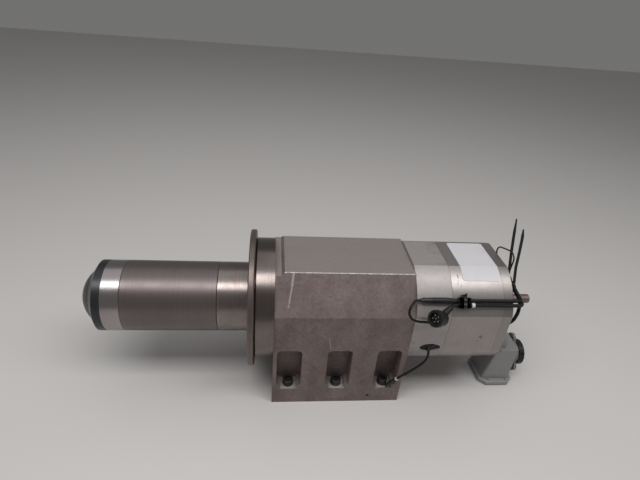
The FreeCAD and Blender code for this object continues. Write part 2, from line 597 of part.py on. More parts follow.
def spindle_shaft():
    def at(station):
        return span(NOSE, station)
    end = f"{at(REAR)} + 2"
    nut_end = f"{at(NUT)} + nut_width + 2"
    body = turned("spindle_shaft", NOSE, [
        ("0", "taper_radius"), ("0", "journal_radius - fine_chamfer"), ("fine_chamfer", "journal_radius"),
        ("labyrinth_length", "journal_radius"), ("labyrinth_length", "shoulder_radius"),
        (at(BEARING_1), "shoulder_radius"), (at(BEARING_1), "front_seat"), (nut_end, "front_seat"),
        (nut_end, "shaft_radius"), (at(TAIL), "shaft_radius"), (at(TAIL), "tail_seat"),
        (f"{at(MOTOR_BEARING)} - 1", "tail_seat"), (f"{at(MOTOR_BEARING)} - 1", "motor_seat"),
        (end, "motor_seat"), (end, "chamber_radius"), (at(SPRINGS), "chamber_radius"),
        (at(SPRINGS), "guide_radius"), ("taper_length + relief_length", "guide_radius"),
        ("taper_length + relief_length", "relief_radius"), ("taper_length", "relief_radius"),
        ("taper_length", "taper_end")])
    key_cut = sketch_on(body, "YZ_Plane", "-1")
    outline(key_cut, box_corners("-6", "taper_radius - 6", "6", "taper_radius + 6"))
    pattern(body, [feature(body, "Pocket", key_cut, "9", into_normal=True)], "2")
    return body


def drawbar_pieces():
    length = span(f"{NOSE} + head_station", REAR)
    neck_end = "head_length + gripper_length + 2"
    turned("drawbar", f"{NOSE} + head_station", [
        ("0", "0"), ("0", "head_radius - 4"), ("head_length - 4", "head_radius"), ("head_length", "neck_radius"),
        (neck_end, "neck_radius"), (f"{neck_end} + 2", "drawbar_radius"), (length, "drawbar_radius"), (length, "0")])

    inner = "neck_radius + running_gap"
    gripper = turned("gripper_segments", f"{NOSE} + head_station + head_length + 1", [
        ("0", f"{inner} + 1"), ("0", "gripper_lip - 2"), ("1.5", "gripper_lip"), ("3", "gripper_lip"),
        ("5", "gripper_radius - 3"), ("gripper_length - 6", "gripper_radius - 3"),
        ("gripper_length - 4", "gripper_radius"), ("gripper_length", "gripper_radius"), ("gripper_length", inner),
        ("1", inner)])
    saw = sketch_on(gripper, "YZ_Plane", "-1")
    outline(saw, box_corners("-gripper_slot / 2", "-gripper_lip - 1", "gripper_slot / 2", "gripper_lip + 1"))
    pattern(gripper, [feature(gripper, "Pocket", saw, "gripper_length + 2", into_normal=True)], "3")
    gripper.Tip.Angle = 180

    springs = new_body("disc_springs", SPRINGS)
    sketch = sketch_on(springs, "XZ_Plane")
    rim, hole = "spring_radius", "drawbar_radius + running_gap"
    outline(sketch, [("race_gap", hole), ("race_gap + spring_cone", rim), ("race_gap + spring_cone + spring_thickness", rim),
                     ("race_gap + spring_thickness", hole)])
    first = revolve(springs, sketch)
    stack = springs.newObject("PartDesign::LinearPattern", "spring_stack")
    stack.Originals = [first]
    stack.Direction = (origin_part(springs, "X_Axis"), [""])
    stack.setExpression("Length", link("(spring_count - 1) * spring_pitch"))
    stack.setExpression("Occurrences", link("spring_count"))
    springs.Tip = stack

    turned("spring_nut", SPRING_NUT, [
        ("0", "drawbar_radius + seat_gap"), ("0", "spring_nut_radius"), ("spring_nut_length - 2", "spring_nut_radius"),
        ("spring_nut_length", "spring_nut_radius - 2"), ("spring_nut_length", "drawbar_radius + seat_gap")])
    turned("guide_bush", f"{REAR} - bush_length", ring_corners("0", "bush_length", "drawbar_radius + running_gap",
                                                              "chamber_radius - seat_gap"))


# Motor

def flatted(label, station, length):
    """A round body with four flats, as the motor's pieces have."""
    body = new_body(label, station)
    disc = sketch_on(body, "YZ_Plane")
    circle(disc, "0", "0", "motor_radius")
    feature(body, "Pad", disc, length, into_normal=True)
    flats = sketch_on(body, "YZ_Plane", "-1")
    for half in ("motor_radius + 5", "motor_flat"):
        outline(flats, box_corners(f"-({half})", f"-({half})", half, half))
    feature(body, "Pocket", flats, f"{length} + 2", into_normal=True)
    return body


def motor_pieces():
    adapter = flatted("motor_adapter", MOTOR, "adapter_length")
    spigot = sketch_on(adapter, "YZ_Plane")
    circle(spigot, "0", "0", "rear_bore")
    feature(adapter, "Pad", spigot, "adapter_spigot", into_normal=False)
    groove(adapter, [("-adapter_spigot - 1", "0"), ("-adapter_spigot - 1", "adapter_bore"),
                     ("adapter_wall", "adapter_bore"), ("adapter_wall", "motor_bore"),
                     ("adapter_length + 1", "motor_bore"), ("adapter_length + 1", "0")])
    upper = sketch_on(adapter, "XZ_Plane", "motor_flat + 1")
    circle(upper, "port_station", "upper_port_height - axis_height", "upper_port_radius")
    feature(adapter, "Pocket", upper, "motor_flat + 1 - motor_bore + 12")
    lower = sketch_on(adapter, "XZ_Plane", "motor_radius")
    outline(lower, oval_corners("port_station", "lower_port_height - axis_height", "lower_port_half_length",
                                "lower_port_half_height", "lower_port_end_radius"))
    feature(adapter, "Pocket", lower, "motor_radius - motor_flat + lower_port_depth")
    axial_holes(adapter, "adapter_wall + 1", "adapter_screw_circle", "adapter_screws", ("7", "10"),
                ("4.5", "adapter_wall + 2"), turn="30", inward=False)
    cap_screws("adapter_screws", f"{MOTOR} + adapter_wall - 0.7", "adapter_screw_circle", "adapter_screws", "4", "32",
               "6.5", "8", "3", turn="30", flip=True)

    barrel = flatted("motor_housing", BARREL, "motor_length")
    groove(barrel, [("-1", "0"), ("-1", "motor_bore"), ("motor_length + 1", "motor_bore"), ("motor_length + 1", "0")])
    axial_holes(barrel, "motor_length + 1", "plate_screw_circle", "4", ("3.1", "20"), turn="45", inward=False)

    plate = flatted("motor_end_plate", PLATE, "plate_thickness")
    boss = sketch_on(plate, "YZ_Plane")
    circle(boss, "0", "0", "boss_radius")
    feature(plate, "Pad", boss, "boss_length", into_normal=False)
    seat = f"{span(PLATE, MOTOR_BEARING)} - 1"
    lip = "plate_thickness - 3"
    groove(plate, [("-boss_length - 1", "0"), ("-boss_length - 1", "motor_bearing_outer - 4"), (seat, "motor_bearing_outer - 4"),
                   (seat, "motor_bearing_outer + seat_gap"), (lip, "motor_bearing_outer + seat_gap"),
                   (lip, "motor_seat + 3"), ("plate_thickness + 1", "motor_seat + 3"), ("plate_thickness + 1", "0")])
    soften(plate, "Chamfer", "edge_chamfer", lambda edge: edge.BoundBox.XMin > val("plate_thickness") - 0.1
           and farthest(edge) > val("motor_flat") - 1)
    axial_holes(plate, "plate_thickness + 1", "plate_screw_circle", "4", ("5.4", "8.5"), ("3.3", "plate_thickness + 2"),
                turn="45", inward=False)
    cap_screws("end_plate_screws", f"{REAR} - 0.5", "plate_screw_circle", "4", "3", "24", "5", "6", "2.5", turn="45",
               flip=True)

    stack = [("core_length", "rotor_radius + air_gap", "motor_bore - seat_gap")]
    turned("stator_core", CORE, *[ring_corners("0", *entry) for entry in stack])
    coil = "winding_length"
    turned("stator_windings", f"{CORE} - winding_length", *[[
        (x, "winding_inner + 3"), (f"{x} + 3", "winding_inner"), (f"{x} + {coil} - 3", "winding_inner"),
        (f"{x} + {coil}", "winding_inner + 3"), (f"{x} + {coil}", "winding_outer - 5"),
        (f"{x} + {coil} - 5", "winding_outer"), (f"{x} + 5", "winding_outer"), (x, "winding_outer - 5")]
        for x in ("0", "winding_length + core_length")])
    turned("rotor_core", CORE, ring_corners("0", "core_length", "tail_seat + seat_gap", "rotor_radius"))
    turned("rotor_end_rings", f"{CORE} - end_ring",
           *[ring_corners(x, "end_ring", "end_ring_inner", "rotor_radius - 1")
             for x in ("0", "end_ring + core_length")])


def rear_pieces():
    mouth = "cylinder_radius - 8"
    close = "cylinder_length - cylinder_wall"
    turned("release_cylinder", REAR, [
        ("0", mouth), ("0", "cylinder_radius"), ("cylinder_length - edge_chamfer", "cylinder_radius"),
        ("cylinder_length", "cylinder_radius - edge_chamfer"), ("cylinder_length", "fitting_bore + 1"),
        (close, "fitting_bore + 1"), (close, mouth)])
    turned("release_piston", f"{REAR} + face_gap * 2", [
        ("0", "0"), ("0", "drawbar_radius - 2"), ("piston_push", "drawbar_radius - 2"),
        ("piston_push", f"{mouth} - running_gap"), ("piston_push + piston_thickness", f"{mouth} - running_gap"),
        ("piston_push + piston_thickness", "0")])
    fitting = turned("rear_fitting", f"{REAR} + cylinder_length", [
        ("0", "fitting_bore"), ("0", "fitting_radius - undercut"),
        ("fitting_hex_length + undercut", "fitting_radius - undercut"),
        ("fitting_hex_length + undercut", "fitting_radius"), ("fitting_length - 1", "fitting_radius"),
        ("fitting_length", "fitting_radius - 1"), ("fitting_length", "fitting_bore")])
    nut = sketch_on(fitting, "YZ_Plane")
    outline(nut, hexagon("0", "0", "fitting_hex"))
    circle(nut, "0", "0", "fitting_bore")
    feature(fitting, "Pad", nut, "fitting_hex_length", into_normal=True)


# Ports, connectors and leads on the motor's front flank

def flank(x, angle, standoff):
    """A point off the motor's round corner: station, angle above the axis and distance from the surface."""
    radius = val(f"motor_radius + {standoff}")
    return Vector(val(x), -radius * math.cos(math.radians(angle)),
                  val("axis_height") + radius * math.sin(math.radians(angle)))


def tube(name, route, radius, bends=None):
    """A round lead along straight runs joined by tangent arcs; bends gives fixed radii where it has them."""
    edges, length, here = [], 0.0, route[0]
    for i in range(1, len(route) - 1):
        before, after = route[i] - route[i - 1], route[i + 1] - route[i]
        turn = before.getAngle(after)
        bend = bends[i - 1] if bends else 0.45 * min(before.Length, after.Length) / math.tan(turn / 2)
        back = bend * math.tan(turn / 2)
        start = route[i] - before.normalize() * back
        end = route[i] + after.normalize() * back
        middle = route[i] + (after - before).normalize() * bend * (1 / math.cos(turn / 2) - 1)
        if (start - here).Length > 1e-6:
            edges.append(Part.LineSegment(here, start).toShape())
            length += (start - here).Length
        edges.append(Part.Arc(start, middle, end).toShape())
        length += bend * turn
        here = end
        print(name, "bend", i, "radius", round(bend, 1), "turn", round(math.degrees(turn)))
    edges.append(Part.LineSegment(here, route[-1]).toShape())
    length += (route[-1] - here).Length
    path = Part.Wire(edges)
    section = Part.Wire([Part.Circle(route[0], route[1] - route[0], radius).toShape()])
    solid = path.makePipeShell([section], True, False)
    expected = math.pi * radius ** 2 * length
    print(name, "length", round(length, 1), "volume ratio", round(solid.Volume / expected, 4))
    return solid


def stick(start, direction, length, radius, tip_radius=None):
    """A cylinder or cone from a point along a direction."""
    if tip_radius is None:
        return Part.makeCylinder(radius, length, start, direction)
    return Part.makeCone(radius, tip_radius, length, start, direction)


def knurled(outer, inner, length, start, direction, count, depth):
    """A ring with finger grooves round its rim."""
    ring = stick(start, direction, length, outer).cut(stick(start, direction, length, inner))
    turn = Rotation(Vector(0, 0, 1), direction)
    cutters = []
    for i in range(count):
        angle = 2 * math.pi * i / count
        rim = Vector(math.cos(angle), math.sin(angle), 0) * (outer + depth * 0.5)
        cutters.append(stick(start + turn.multVec(rim), direction, length, depth))
    return ring.cut(Part.makeCompound(cutters))


LOOK = Vector(-0.81, -0.46, 0.36).normalize()


# The thin lead's way round to the upper port, from the motor's front face and the port's middle
THIN_STEPS = [(-14, -1.5, 31.5), (-17, -6, 21.5), (-11.5, -8, 11.5), (-1, -7, 5.5), (14, -4.5, 1.8)]

# The tails of the two ties behind the motor, and the loose loop of strap, from the rear face and the grommet
TAILS = [(-34.5, 8.5, [(-31, 15), (-20, 44), (-10, 75), (-3, 100)]),
         (-52, 11.5, [(-48, 11), (-41.5, 28), (-36.5, 55), (-31, 79), (-26, 93)])]
LOOSE_LOOP = [(5, -15, 11), (5, -2, 7), (5, 10, 12), (5, 19, 24), (4.5, 13, 35), (4, -9, 44), (4, -30, 51),
              (5, -39, 44), (5.5, -38, 29), (6, -36.5, 13)]


def flank_leads():
    radius, thin = val("lead_radius"), val("thin_lead_radius")
    rear = val(REAR)
    motor = val(MOTOR)
    upper_angle, lower_angle = val("upper_lead_angle"), val("lower_lead_angle")
    tape_front = f"{MOTOR} + tape_station"
    tape_rear = f"{tape_front} + tape_length"
    grommet = Vector(rear, -val("grommet_side"), val("axis_height + grommet_rise"))
    face = Vector(val("grommet_thickness"), 0, 0)
    plain("cable_grommet", stick(grommet, Vector(1, 0, 0), val("grommet_thickness"), val("grommet_radius")))

    # The two leads leave the grommet, cross the rear face and come forward along the flank. A third one turns
    # down behind the release cylinder to the connector box.
    overshoot, bend = f"{REAR} + lead_overshoot", val("lead_bend")
    upper_end = flank(f"{MOTOR} + inline_rear", upper_angle, "lead_standoff")
    upper_start = grommet + face + Vector(0, 2, 3.6)
    upper_turn = flank(overshoot, upper_angle, "lead_standoff")
    upper_lead = tube("upper lead", [upper_start, Vector(upper_turn.x, upper_start.y, upper_start.z), upper_turn,
                                     upper_end], radius, bends=[bend, bend])
    lower_start = grommet + face + Vector(0, -2, -3.6)
    lower_turn = flank(f"{overshoot} + 3", lower_angle, "lead_standoff")
    lower_bend = flank(f"{tape_front} - 7", lower_angle, "lead_standoff")
    barrel_face = Vector(motor + 20.8, -val("motor_radius + 14"), val("axis_height + 51.5"))
    barrel_back = barrel_face - LOOK * val("connector_length")
    barrel_middle = barrel_back + LOOK * 7
    neck_way = (barrel_middle - lower_bend).normalize()
    lower_end = lower_bend + neck_way * 7
    lower_lead = tube("lower lead", [lower_start, Vector(lower_turn.x, lower_start.y, lower_start.z), lower_turn,
                                     lower_bend, lower_end], radius, bends=[bend, bend, 10])
    box_start = grommet + face + Vector(0, 5, -7.5)
    neck_entry = Vector(rear + 13, -val("box_side") - 11, val("neck_top") + 0.1)
    behind = Vector(rear + 20, 0, val("axis_height"))
    rise = val("grommet_rise")
    box_lead = tube("box lead", [box_start, Vector(behind.x, box_start.y, box_start.z),
                                 behind + Vector(0, -70, rise - 17), behind + Vector(0, -78, rise - 37),
                                 behind + Vector(0, -73, 6), neck_entry + Vector(0, 0, 22), neck_entry], radius)
    plain("motor_leads", Part.makeCompound([upper_lead, lower_lead, box_lead]))

    # Tape and tie that hold both leads together, and the white marker sleeve behind it.
    middle_angle = (upper_angle + lower_angle) / 2
    start, stop = flank(tape_front, middle_angle, "lead_standoff"), flank(tape_rear, middle_angle, "lead_standoff")
    along = (stop - start).normalize()
    length = val("tape_length")
    reach = flank("0", upper_angle, "lead_standoff") - flank("0", lower_angle, "lead_standoff")
    across = Vector(0, reach.y, reach.z)
    wall = val("tape_wall")
    ends = [flank(tape_front, angle, "lead_standoff") for angle in (upper_angle, lower_angle)]
    wrap = stick(ends[0], along, length, radius + wall).fuse(stick(ends[1], along, length, radius + wall))
    holes = [stick(end, along, length, radius + val("seat_gap")) for end in ends]
    wrap = wrap.cut(Part.makeCompound(holes))
    axis_end = Vector(start.x - length, 0, val("axis_height"))
    motor_round = Part.makeCylinder(val("motor_radius + seat_gap"), 3 * length, axis_end, Vector(1, 0, 0))
    wrap = wrap.cut(motor_round)
    tie_place = along * (length * 0.4)
    outward = Vector(0, start.y, start.z - val("axis_height")).normalize()
    upward = Vector(across).normalize()
    width, strap = val("tie_width"), val("tie_thickness")
    loops = [stick(end + tie_place, along, width, radius + wall + strap) for end in ends]
    inner = [stick(end, along, length, radius + wall + val("seat_gap")) for end in ends]
    head = val("tie_head")
    head_at = ends[0] + tie_place + along * (width / 2) + upward * (radius + wall)
    lug = bar(head_at, head_at + upward * (head * 0.7), along, width + 1.6, head)
    stub = bar(head_at + upward * 2, head_at + upward * 7 + outward * 9, along, width - 1, strap * 1.2, 2.4)
    tie = loops[0].fuse(loops[1]).fuse(lug).fuse(stub)
    flank_tie = tie.cut(Part.makeCompound(inner + [motor_round]))
    marker_at = flank(f"{tape_rear} + 1.5", lower_angle, "lead_standoff")
    marker = stick(marker_at, Vector(1, 0, 0), val("marker_length"), radius + val("marker_wall"))
    marker = marker.cut(stick(marker_at, Vector(1, 0, 0), val("marker_length"), radius + val("seat_gap")))
    plain("lead_sleeves", Part.makeCompound([wrap, marker]))

    # Inline connector: a socket on the upper lead and the plug of the thin sensor lead.
    axis = Vector(1, 0, 0)
    seam = flank(f"{MOTOR} + inline_seam", upper_angle, "lead_standoff")
    front = flank(f"{MOTOR} + inline_front", upper_angle, "lead_standoff")
    back = flank(f"{MOTOR} + inline_rear", upper_angle, "lead_standoff")
    body_radius = val("inline_radius")
    tail = 14
    socket = stick(seam, axis, back.x - seam.x - tail, body_radius)
    socket = socket.fuse(stick(back - axis * tail, axis, tail, body_radius, radius + 0.4))
    plain("inline_socket", socket)
    plug = stick(front + axis * 5, axis, seam.x - front.x - 5.3, body_radius - 0.3)
    plug = plug.fuse(stick(front, axis, 5, thin + 0.6, body_radius - 0.3))
    plain("inline_plug", plug)

    # Thin lead from the plug round to the sensor in the upper port.
    port = Vector(motor + val("port_station"), -val("motor_flat"), val("upper_port_height"))
    inset = val("upper_port_radius - seat_gap")
    sensor = stick(port + Vector(0, 10, 0), Vector(0, -1, 0), 10, inset)
    sensor = sensor.fuse(stick(port, Vector(0, -1, 0), 5.5, inset - 1))
    plain("upper_sensor", sensor)
    entry = port + Vector(-inset + 0.7, -3.2, 0)
    seam_side = Vector(motor, port.y, port.z)
    route = [front, front + Vector(-8, 0, 0)] + [seam_side + Vector(*step) for step in THIN_STEPS] + [entry]
    plain("thin_lead", tube("thin lead", route, thin))

    # Round connector: an angled body on the lower lead, its turning ring, and the insert with its pins.
    wide = val("connector_radius")
    shell_radius, hollow = wide - 1, wide - 2.2
    barrel = stick(barrel_back, LOOK, 12, wide).fuse(stick(barrel_back + LOOK * 12, LOOK, 8, shell_radius))
    barrel = barrel.fuse(stick(barrel_back - LOOK * 2, LOOK, 2, wide - 3, wide))
    neck = stick(lower_end, neck_way, (barrel_middle - lower_end).Length, radius + 1.2, 7)
    socket_cut = stick(barrel_back + LOOK * 9, LOOK, 12, hollow)
    shell = barrel.fuse(neck).cut(socket_cut)
    ring_start = barrel_back + LOOK * (12 + val("running_gap"))
    plain("round_connector_ring", knurled(wide + 1.8, shell_radius + val("running_gap"), 7.5, ring_start, LOOK, 14, 1.1))
    floor = barrel_back + LOOK * 9
    insert = stick(floor, LOOK, 4, hollow - val("seat_gap"))
    turn = Rotation(Vector(0, 0, 1), LOOK)
    pins = [stick(floor + LOOK * 4 + turn.multVec(Vector(5.6 * math.cos(a), 5.6 * math.sin(a), 0)), LOOK, 5, 1.2)
            for a in [2 * math.pi * i / 5 for i in range(5)]]
    plain("round_connector", shell)
    plain("round_connector_pins", Part.makeCompound([insert, stick(floor + LOOK * 4, LOOK, 5, 1.2)] + pins))
    rear_runs = [(Vector(turn.x, start.y, start.z), turn)
                 for start, turn in ((upper_start, upper_turn), (lower_start, lower_turn))]
    return flank_tie, rear_runs


def cable_ties(flank_tie, rear_runs):
    """The tie on the flank, and behind the motor two ties with long tails and a loose loop of strap."""
    base = Vector(val(REAR), 0, val("axis_height + grommet_rise"))
    radius, width = val("lead_radius"), val("tie_width")
    gap, strap = val("face_gap"), val("tie_thickness")
    ties = [flank_tie]
    for side, depth, tips in TAILS:
        upper, lower = [start + (end - start) * ((side - start.y) / (end.y - start.y)) for start, end in rear_runs]
        way = (rear_runs[0][1] - rear_runs[0][0]).normalize()
        outer = loop_block(upper, lower, way, width, radius + gap + strap)
        inner = loop_block(upper, lower, way, width + 4, radius + gap)
        root = Vector(base.x + depth, upper.y, upper.z + radius + gap + strap / 2)
        points = [root] + [base + Vector(depth, *tip) for tip in tips]
        ties.append(outer.cut(inner).fuse(ribbon(points, width - 0.2, strap, val("tie_tip"))))
    ties.append(tube("strap loop", [base + Vector(*spot) for spot in LOOSE_LOOP], 1.3))
    plain("cable_ties", Part.makeCompound(ties))


def loop_block(one, other, way, width, radius):
    """A block round two parallel leads: a half round over each and flat between them."""
    back = way * (-width / 2)
    offset = (other - one) * 0.5
    up = way.cross(offset).normalize() * radius
    corners = [one - up, one + up, other + up, other - up]
    face = Part.Face(Part.makePolygon([corner + back for corner in corners + corners[:1]]))
    ends = stick(one + back, way, width, radius).fuse(stick(other + back, way, width, radius))
    return ends.fuse(face.extrude(way * width))


def bar(start, end, side, width, thickness, tip=None):
    """A flat piece between two points, as wide along side as given, which narrows to the tip's width."""
    flat = (end - start).cross(side).normalize() * thickness
    tip = width if tip is None else tip
    corners = [start - side * (width / 2), start + side * (width / 2), end + side * (tip / 2), end - side * (tip / 2)]
    corners = [corner - flat * 0.5 for corner in corners]
    return Part.Face(Part.makePolygon(corners + corners[:1])).extrude(flat)


def ribbon(points, width, thickness, tip):
    """A flat strap along points of one upright cross plane, as wide as given, that tapers to its tip."""
    across = Vector(1, 0, 0)
    ways = [(b - a).normalize() for a, b in zip(points, points[1:])]
    knee = points[-2] + ways[-1] * 4
    normals = [way.cross(across) for way in ways]
    spots = points[:-1] + [knee]
    edges = []
    for i in range(len(spots)):
        one, other = normals[max(i - 1, 0)], normals[min(i, len(normals) - 1)]
        edges.append((one + other) * (thickness / 2 / (1 + one.dot(other))))
    rim = [spot + edge for spot, edge in zip(spots, edges)]
    rim += [spot - edge for spot, edge in reversed(list(zip(spots, edges)))]
    rim = [spot - across * (width / 2) for spot in rim]
    strap = Part.Face(Part.makePolygon(rim + rim[:1])).extrude(across * width)
    return strap.fuse(bar(knee, points[-1], across, width, thickness, tip)).removeSplitter()


def oval_block(centre, half_length, half_height, end_radius, depth):
    """A block along depth with an oval outline about its centre."""
    across, rise = [val(measure) for measure in oval_measures(half_length, half_height, end_radius)[1:]]
    a, b = val(half_length), val(half_height)
    rim = [(-across, -rise), (0, -b), (across, -rise), (a, 0), (across, rise), (0, b), (-across, rise), (-a, 0)]
    spots = [centre + Vector(x, 0, z) for x, z in rim + rim[:1]]
    arcs = [Part.Arc(spots[i], spots[i + 1], spots[i + 2]).toShape() for i in range(0, 8, 2)]
    return Part.Face(Part.Wire(arcs)).extrude(depth)


def lower_port():
    """The insert of the oval port, its two screws, and the thin free lead that hangs from it."""
    motor = val(MOTOR)
    face = Vector(motor + val("port_station"), -val("motor_flat - port_insert_face"), val("lower_port_height"))
    inward = Vector(0, val("lower_port_depth - port_insert_face"), 0)
    insert = oval_block(face, "(lower_port_half_length - seat_gap)", "(lower_port_half_height - seat_gap)",
                        "(lower_port_end_radius - seat_gap)", inward)
    heads = []
    for side in (-7, 5):
        head = stick(face + Vector(side, 0, 1.5), Vector(0, -1, 0), 2, 2.6)
        slot = Part.makeBox(6, 1.2, 0.9, face + Vector(side - 3, -2.2, 1.05))
        heads.append(head.cut(slot))
    way = Vector(-0.12, -0.78, -0.6).normalize()
    root = face + Vector(-0.5, 0, -3)
    gland = stick(root - way * 2, way, 7, 3, 2.2).cut(Part.makeBox(60, 20, 60, face + Vector(-30, 0, -30)))
    plain("port_insert", Part.makeCompound([insert.fuse(gland)] + heads))

    start = root + way * 5
    foot = val("seat_height")

    def hang(x, y, share):
        """A point of the lead, at a share of the height between the foot screws' seat and the port."""
        return Vector(motor + x, -val("motor_flat") - y, foot + (face.z - foot) * share)
    end = hang(-12.5, 5, 0.275)
    tip = Vector(motor - 24.5, -val("motor_flat") + 1.5, foot + 3)
    plug_way = (tip - end).normalize()
    route = [start, start + way * 9, hang(28.5, 9.5, 0.75), hang(17.5, 8.5, 0.605), hang(6.5, 7, 0.475),
             hang(-4, 6, 0.38), end - plug_way * 6, end]
    radius = val("thin_lead_radius")
    plain("free_lead", tube("free lead", route, radius))
    along = (route[5] - route[4]).normalize()
    middle = (route[4] + route[5]) * 0.5
    ring = stick(middle - along, along, 2, radius + 1).cut(stick(middle - along, along, 2, radius + val("seat_gap")))
    ears = stick(middle, along.cross(Vector(0, 1, 0)), 6, 0.7).fuse(stick(middle, Vector(0, -0.4, -1), 4, 0.7))
    tie = ring.fuse(ears.cut(stick(middle - along * 3, along, 6, radius + val("seat_gap"))))
    mark = end - plug_way * 3.2
    sleeve = stick(mark, plug_way, 3, radius + 1).cut(stick(mark, plug_way, 3, radius + val("seat_gap")))
    plain("free_lead_tie", Part.makeCompound([tie, sleeve]))
    reach = (tip - end).Length
    plug = stick(end, plug_way, 6, radius + 0.8, 3.6).fuse(stick(end + plug_way * 6, plug_way, reach - 12, 3.9))
    plug = plug.fuse(stick(end + plug_way * (reach - 6), plug_way, 6, 3.2))
    plain("free_lead_plug", plug)


# Connector box behind the motor's lower corner

def connector_box():
    left = f"{REAR} + box_gap"
    floor = "box_base + box_lid"
    body = new_body("connector_box", left, "-box_side", "0")
    side = sketch_on(body, "XZ_Plane")
    neck_right = "neck_length - box_gap"
    outline(side, [("box_foot", floor), ("box_length", floor), ("box_length", "box_top"), ("box_slope", "box_top"),
                   ("box_lean", "box_top - box_slope_drop")])
    feature(body, "Pad", side, "2 * box_half_width", symmetric=True)
    soften(body, "Fillet", "4", lambda edge: edge.BoundBox.ZLength > val("box_top") * 0.2
           and edge.BoundBox.YLength < 1)
    neck = sketch_on(body, "XZ_Plane")
    outline(neck, [("pad_thickness - box_gap", "neck_bottom"), ("box_slope - 2", "box_top - 6"), (neck_right, "box_top - 6"),
                   (neck_right, "neck_top - 8"), (f"{neck_right} - 8", "neck_top"), ("pad_thickness - box_gap", "neck_top")])
    feature(body, "Pad", neck, "2 * neck_half_width", symmetric=True)
    pad = sketch_on(body, "XZ_Plane")
    outline(pad, box_corners("-box_gap", "neck_bottom - 6", "pad_thickness - box_gap", "neck_top + 6"))
    feature(body, "Pad", pad, "2 * pad_half_width", symmetric=True)

    lid = new_body("box_lid", left, "-box_side", "box_base")
    rim = sketch_on(lid, "XY_Plane")
    x0, x1 = "-2", "box_length + lid_overhang - 2"
    y1, corner = "box_half_width + lid_overhang", "lid_corner"
    outline(rim, [(f"{x0} + {corner}", f"-({y1})"), (f"{x1} - {corner}", f"-({y1})"), (x1, f"{corner} - ({y1})"),
                  (x1, f"{y1} - {corner}"), (f"{x1} - {corner}", y1), (f"{x0} + {corner}", y1),
                  (x0, f"{y1} - {corner}"), (x0, f"{corner} - ({y1})")])
    feature(lid, "Pad", rim, "box_lid", into_normal=True)
    soften(lid, "Chamfer", "2", lambda edge: edge.BoundBox.ZMin > val("box_lid") - 0.1)

    wall = f"{left} + box_length"
    flange = new_body("socket_flange", wall, "-box_side", "socket_height")
    boss = sketch_on(flange, "YZ_Plane")
    circle(boss, "0", "0", "boss_flange")
    feature(flange, "Pad", boss, "flange_thickness", into_normal=True)
    ears = sketch_on(flange, "YZ_Plane", "flange_seat")
    outline(ears, ear_corners("ear_angle", "ear_reach", "ear_half_width", "ear_end_radius"))
    feature(flange, "Pad", ears, "flange_thickness - flange_seat", into_normal=True)
    shell = sketch_on(flange, "YZ_Plane", "flange_thickness")
    circle(shell, "0", "0", "socket_radius")
    feature(flange, "Pad", shell, "socket_ring_length", into_normal=True)
    hollow = sketch_on(flange, "YZ_Plane", "flange_thickness - 4")
    circle(hollow, "0", "0", "socket_radius - socket_wall")
    feature(flange, "Pocket", hollow, "socket_ring_length + 5", into_normal=True)

    x = val(wall)
    y, z = -val("box_side"), val("socket_height")
    axis = Vector(1, 0, 0)
    ring_start = Vector(x + val("flange_thickness") + 0.3, y, z)
    plain("socket_ring", knurled(val("socket_ring_radius"), val("socket_radius") + val("running_gap"),
                                 val("socket_ring_length"), ring_start, axis, 16, 1.2))
    seat = Vector(x + val("flange_thickness") - 4, y, z)
    insert = stick(seat, axis, 6, val("socket_radius - socket_wall - seat_gap"))
    pins = [stick(seat + axis * 6 + Vector(0, 10 * math.cos(a), 10 * math.sin(a)), axis, 5, 1.6)
            for a in [2 * math.pi * i / 6 for i in range(6)]]
    plain("socket_pins", Part.makeCompound([insert] + pins))
    heads = []
    for reach in (-val("ear_reach - ear_half_width"), val("ear_reach - ear_half_width")):
        at = Vector(x + val("flange_thickness"), y + val("cos(ear_angle)") * reach, z + val("sin(ear_angle)") * reach)
        heads.append(stick(at, axis, 4, 4.2).cut(stick(at + axis * 2, axis, 4, 2)))
    plain("socket_screws", Part.makeCompound(heads))


spindle_housing()
foot_screws()
nose_pieces()
front_bearings()
rear_bearings()
spindle_shaft()
drawbar_pieces()
motor_pieces()
rear_pieces()
cable_ties(*flank_leads())
lower_port()
connector_box()
doc.recompute()

for item in doc.Objects:
    if "Invalid" in item.State or "Error" in item.State:
        raise RuntimeError(f"{item.Name} failed: {item.State}")
faulty = [node.Label for node in NODES
          if node.Shape.isNull() or not node.Shape.isValid() or not node.Shape.Solids]
if faulty:
    raise RuntimeError(f"no valid solid: {faulty}")

os.makedirs("parts", exist_ok=True)
for node in NODES:
    node.Shape.exportStep(f"parts/{node.Label}.step")
print("nodes", len(NODES), "solids", sum(len(node.Shape.Solids) for node in NODES))
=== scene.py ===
"""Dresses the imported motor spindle: a finish for every CAD piece, and small pieces that only the eye needs.

The frame is the CAD's own: +X runs from the nose to the rear along the spindle axis, +Z is up, and the
origin lies on the foot face under the axis. Sizes are in metres.
"""

from __future__ import annotations

import json
import logging
import math
from collections.abc import Callable
from dataclasses import dataclass
from enum import Enum

import bmesh
import bpy
from mathutils import Matrix, Vector


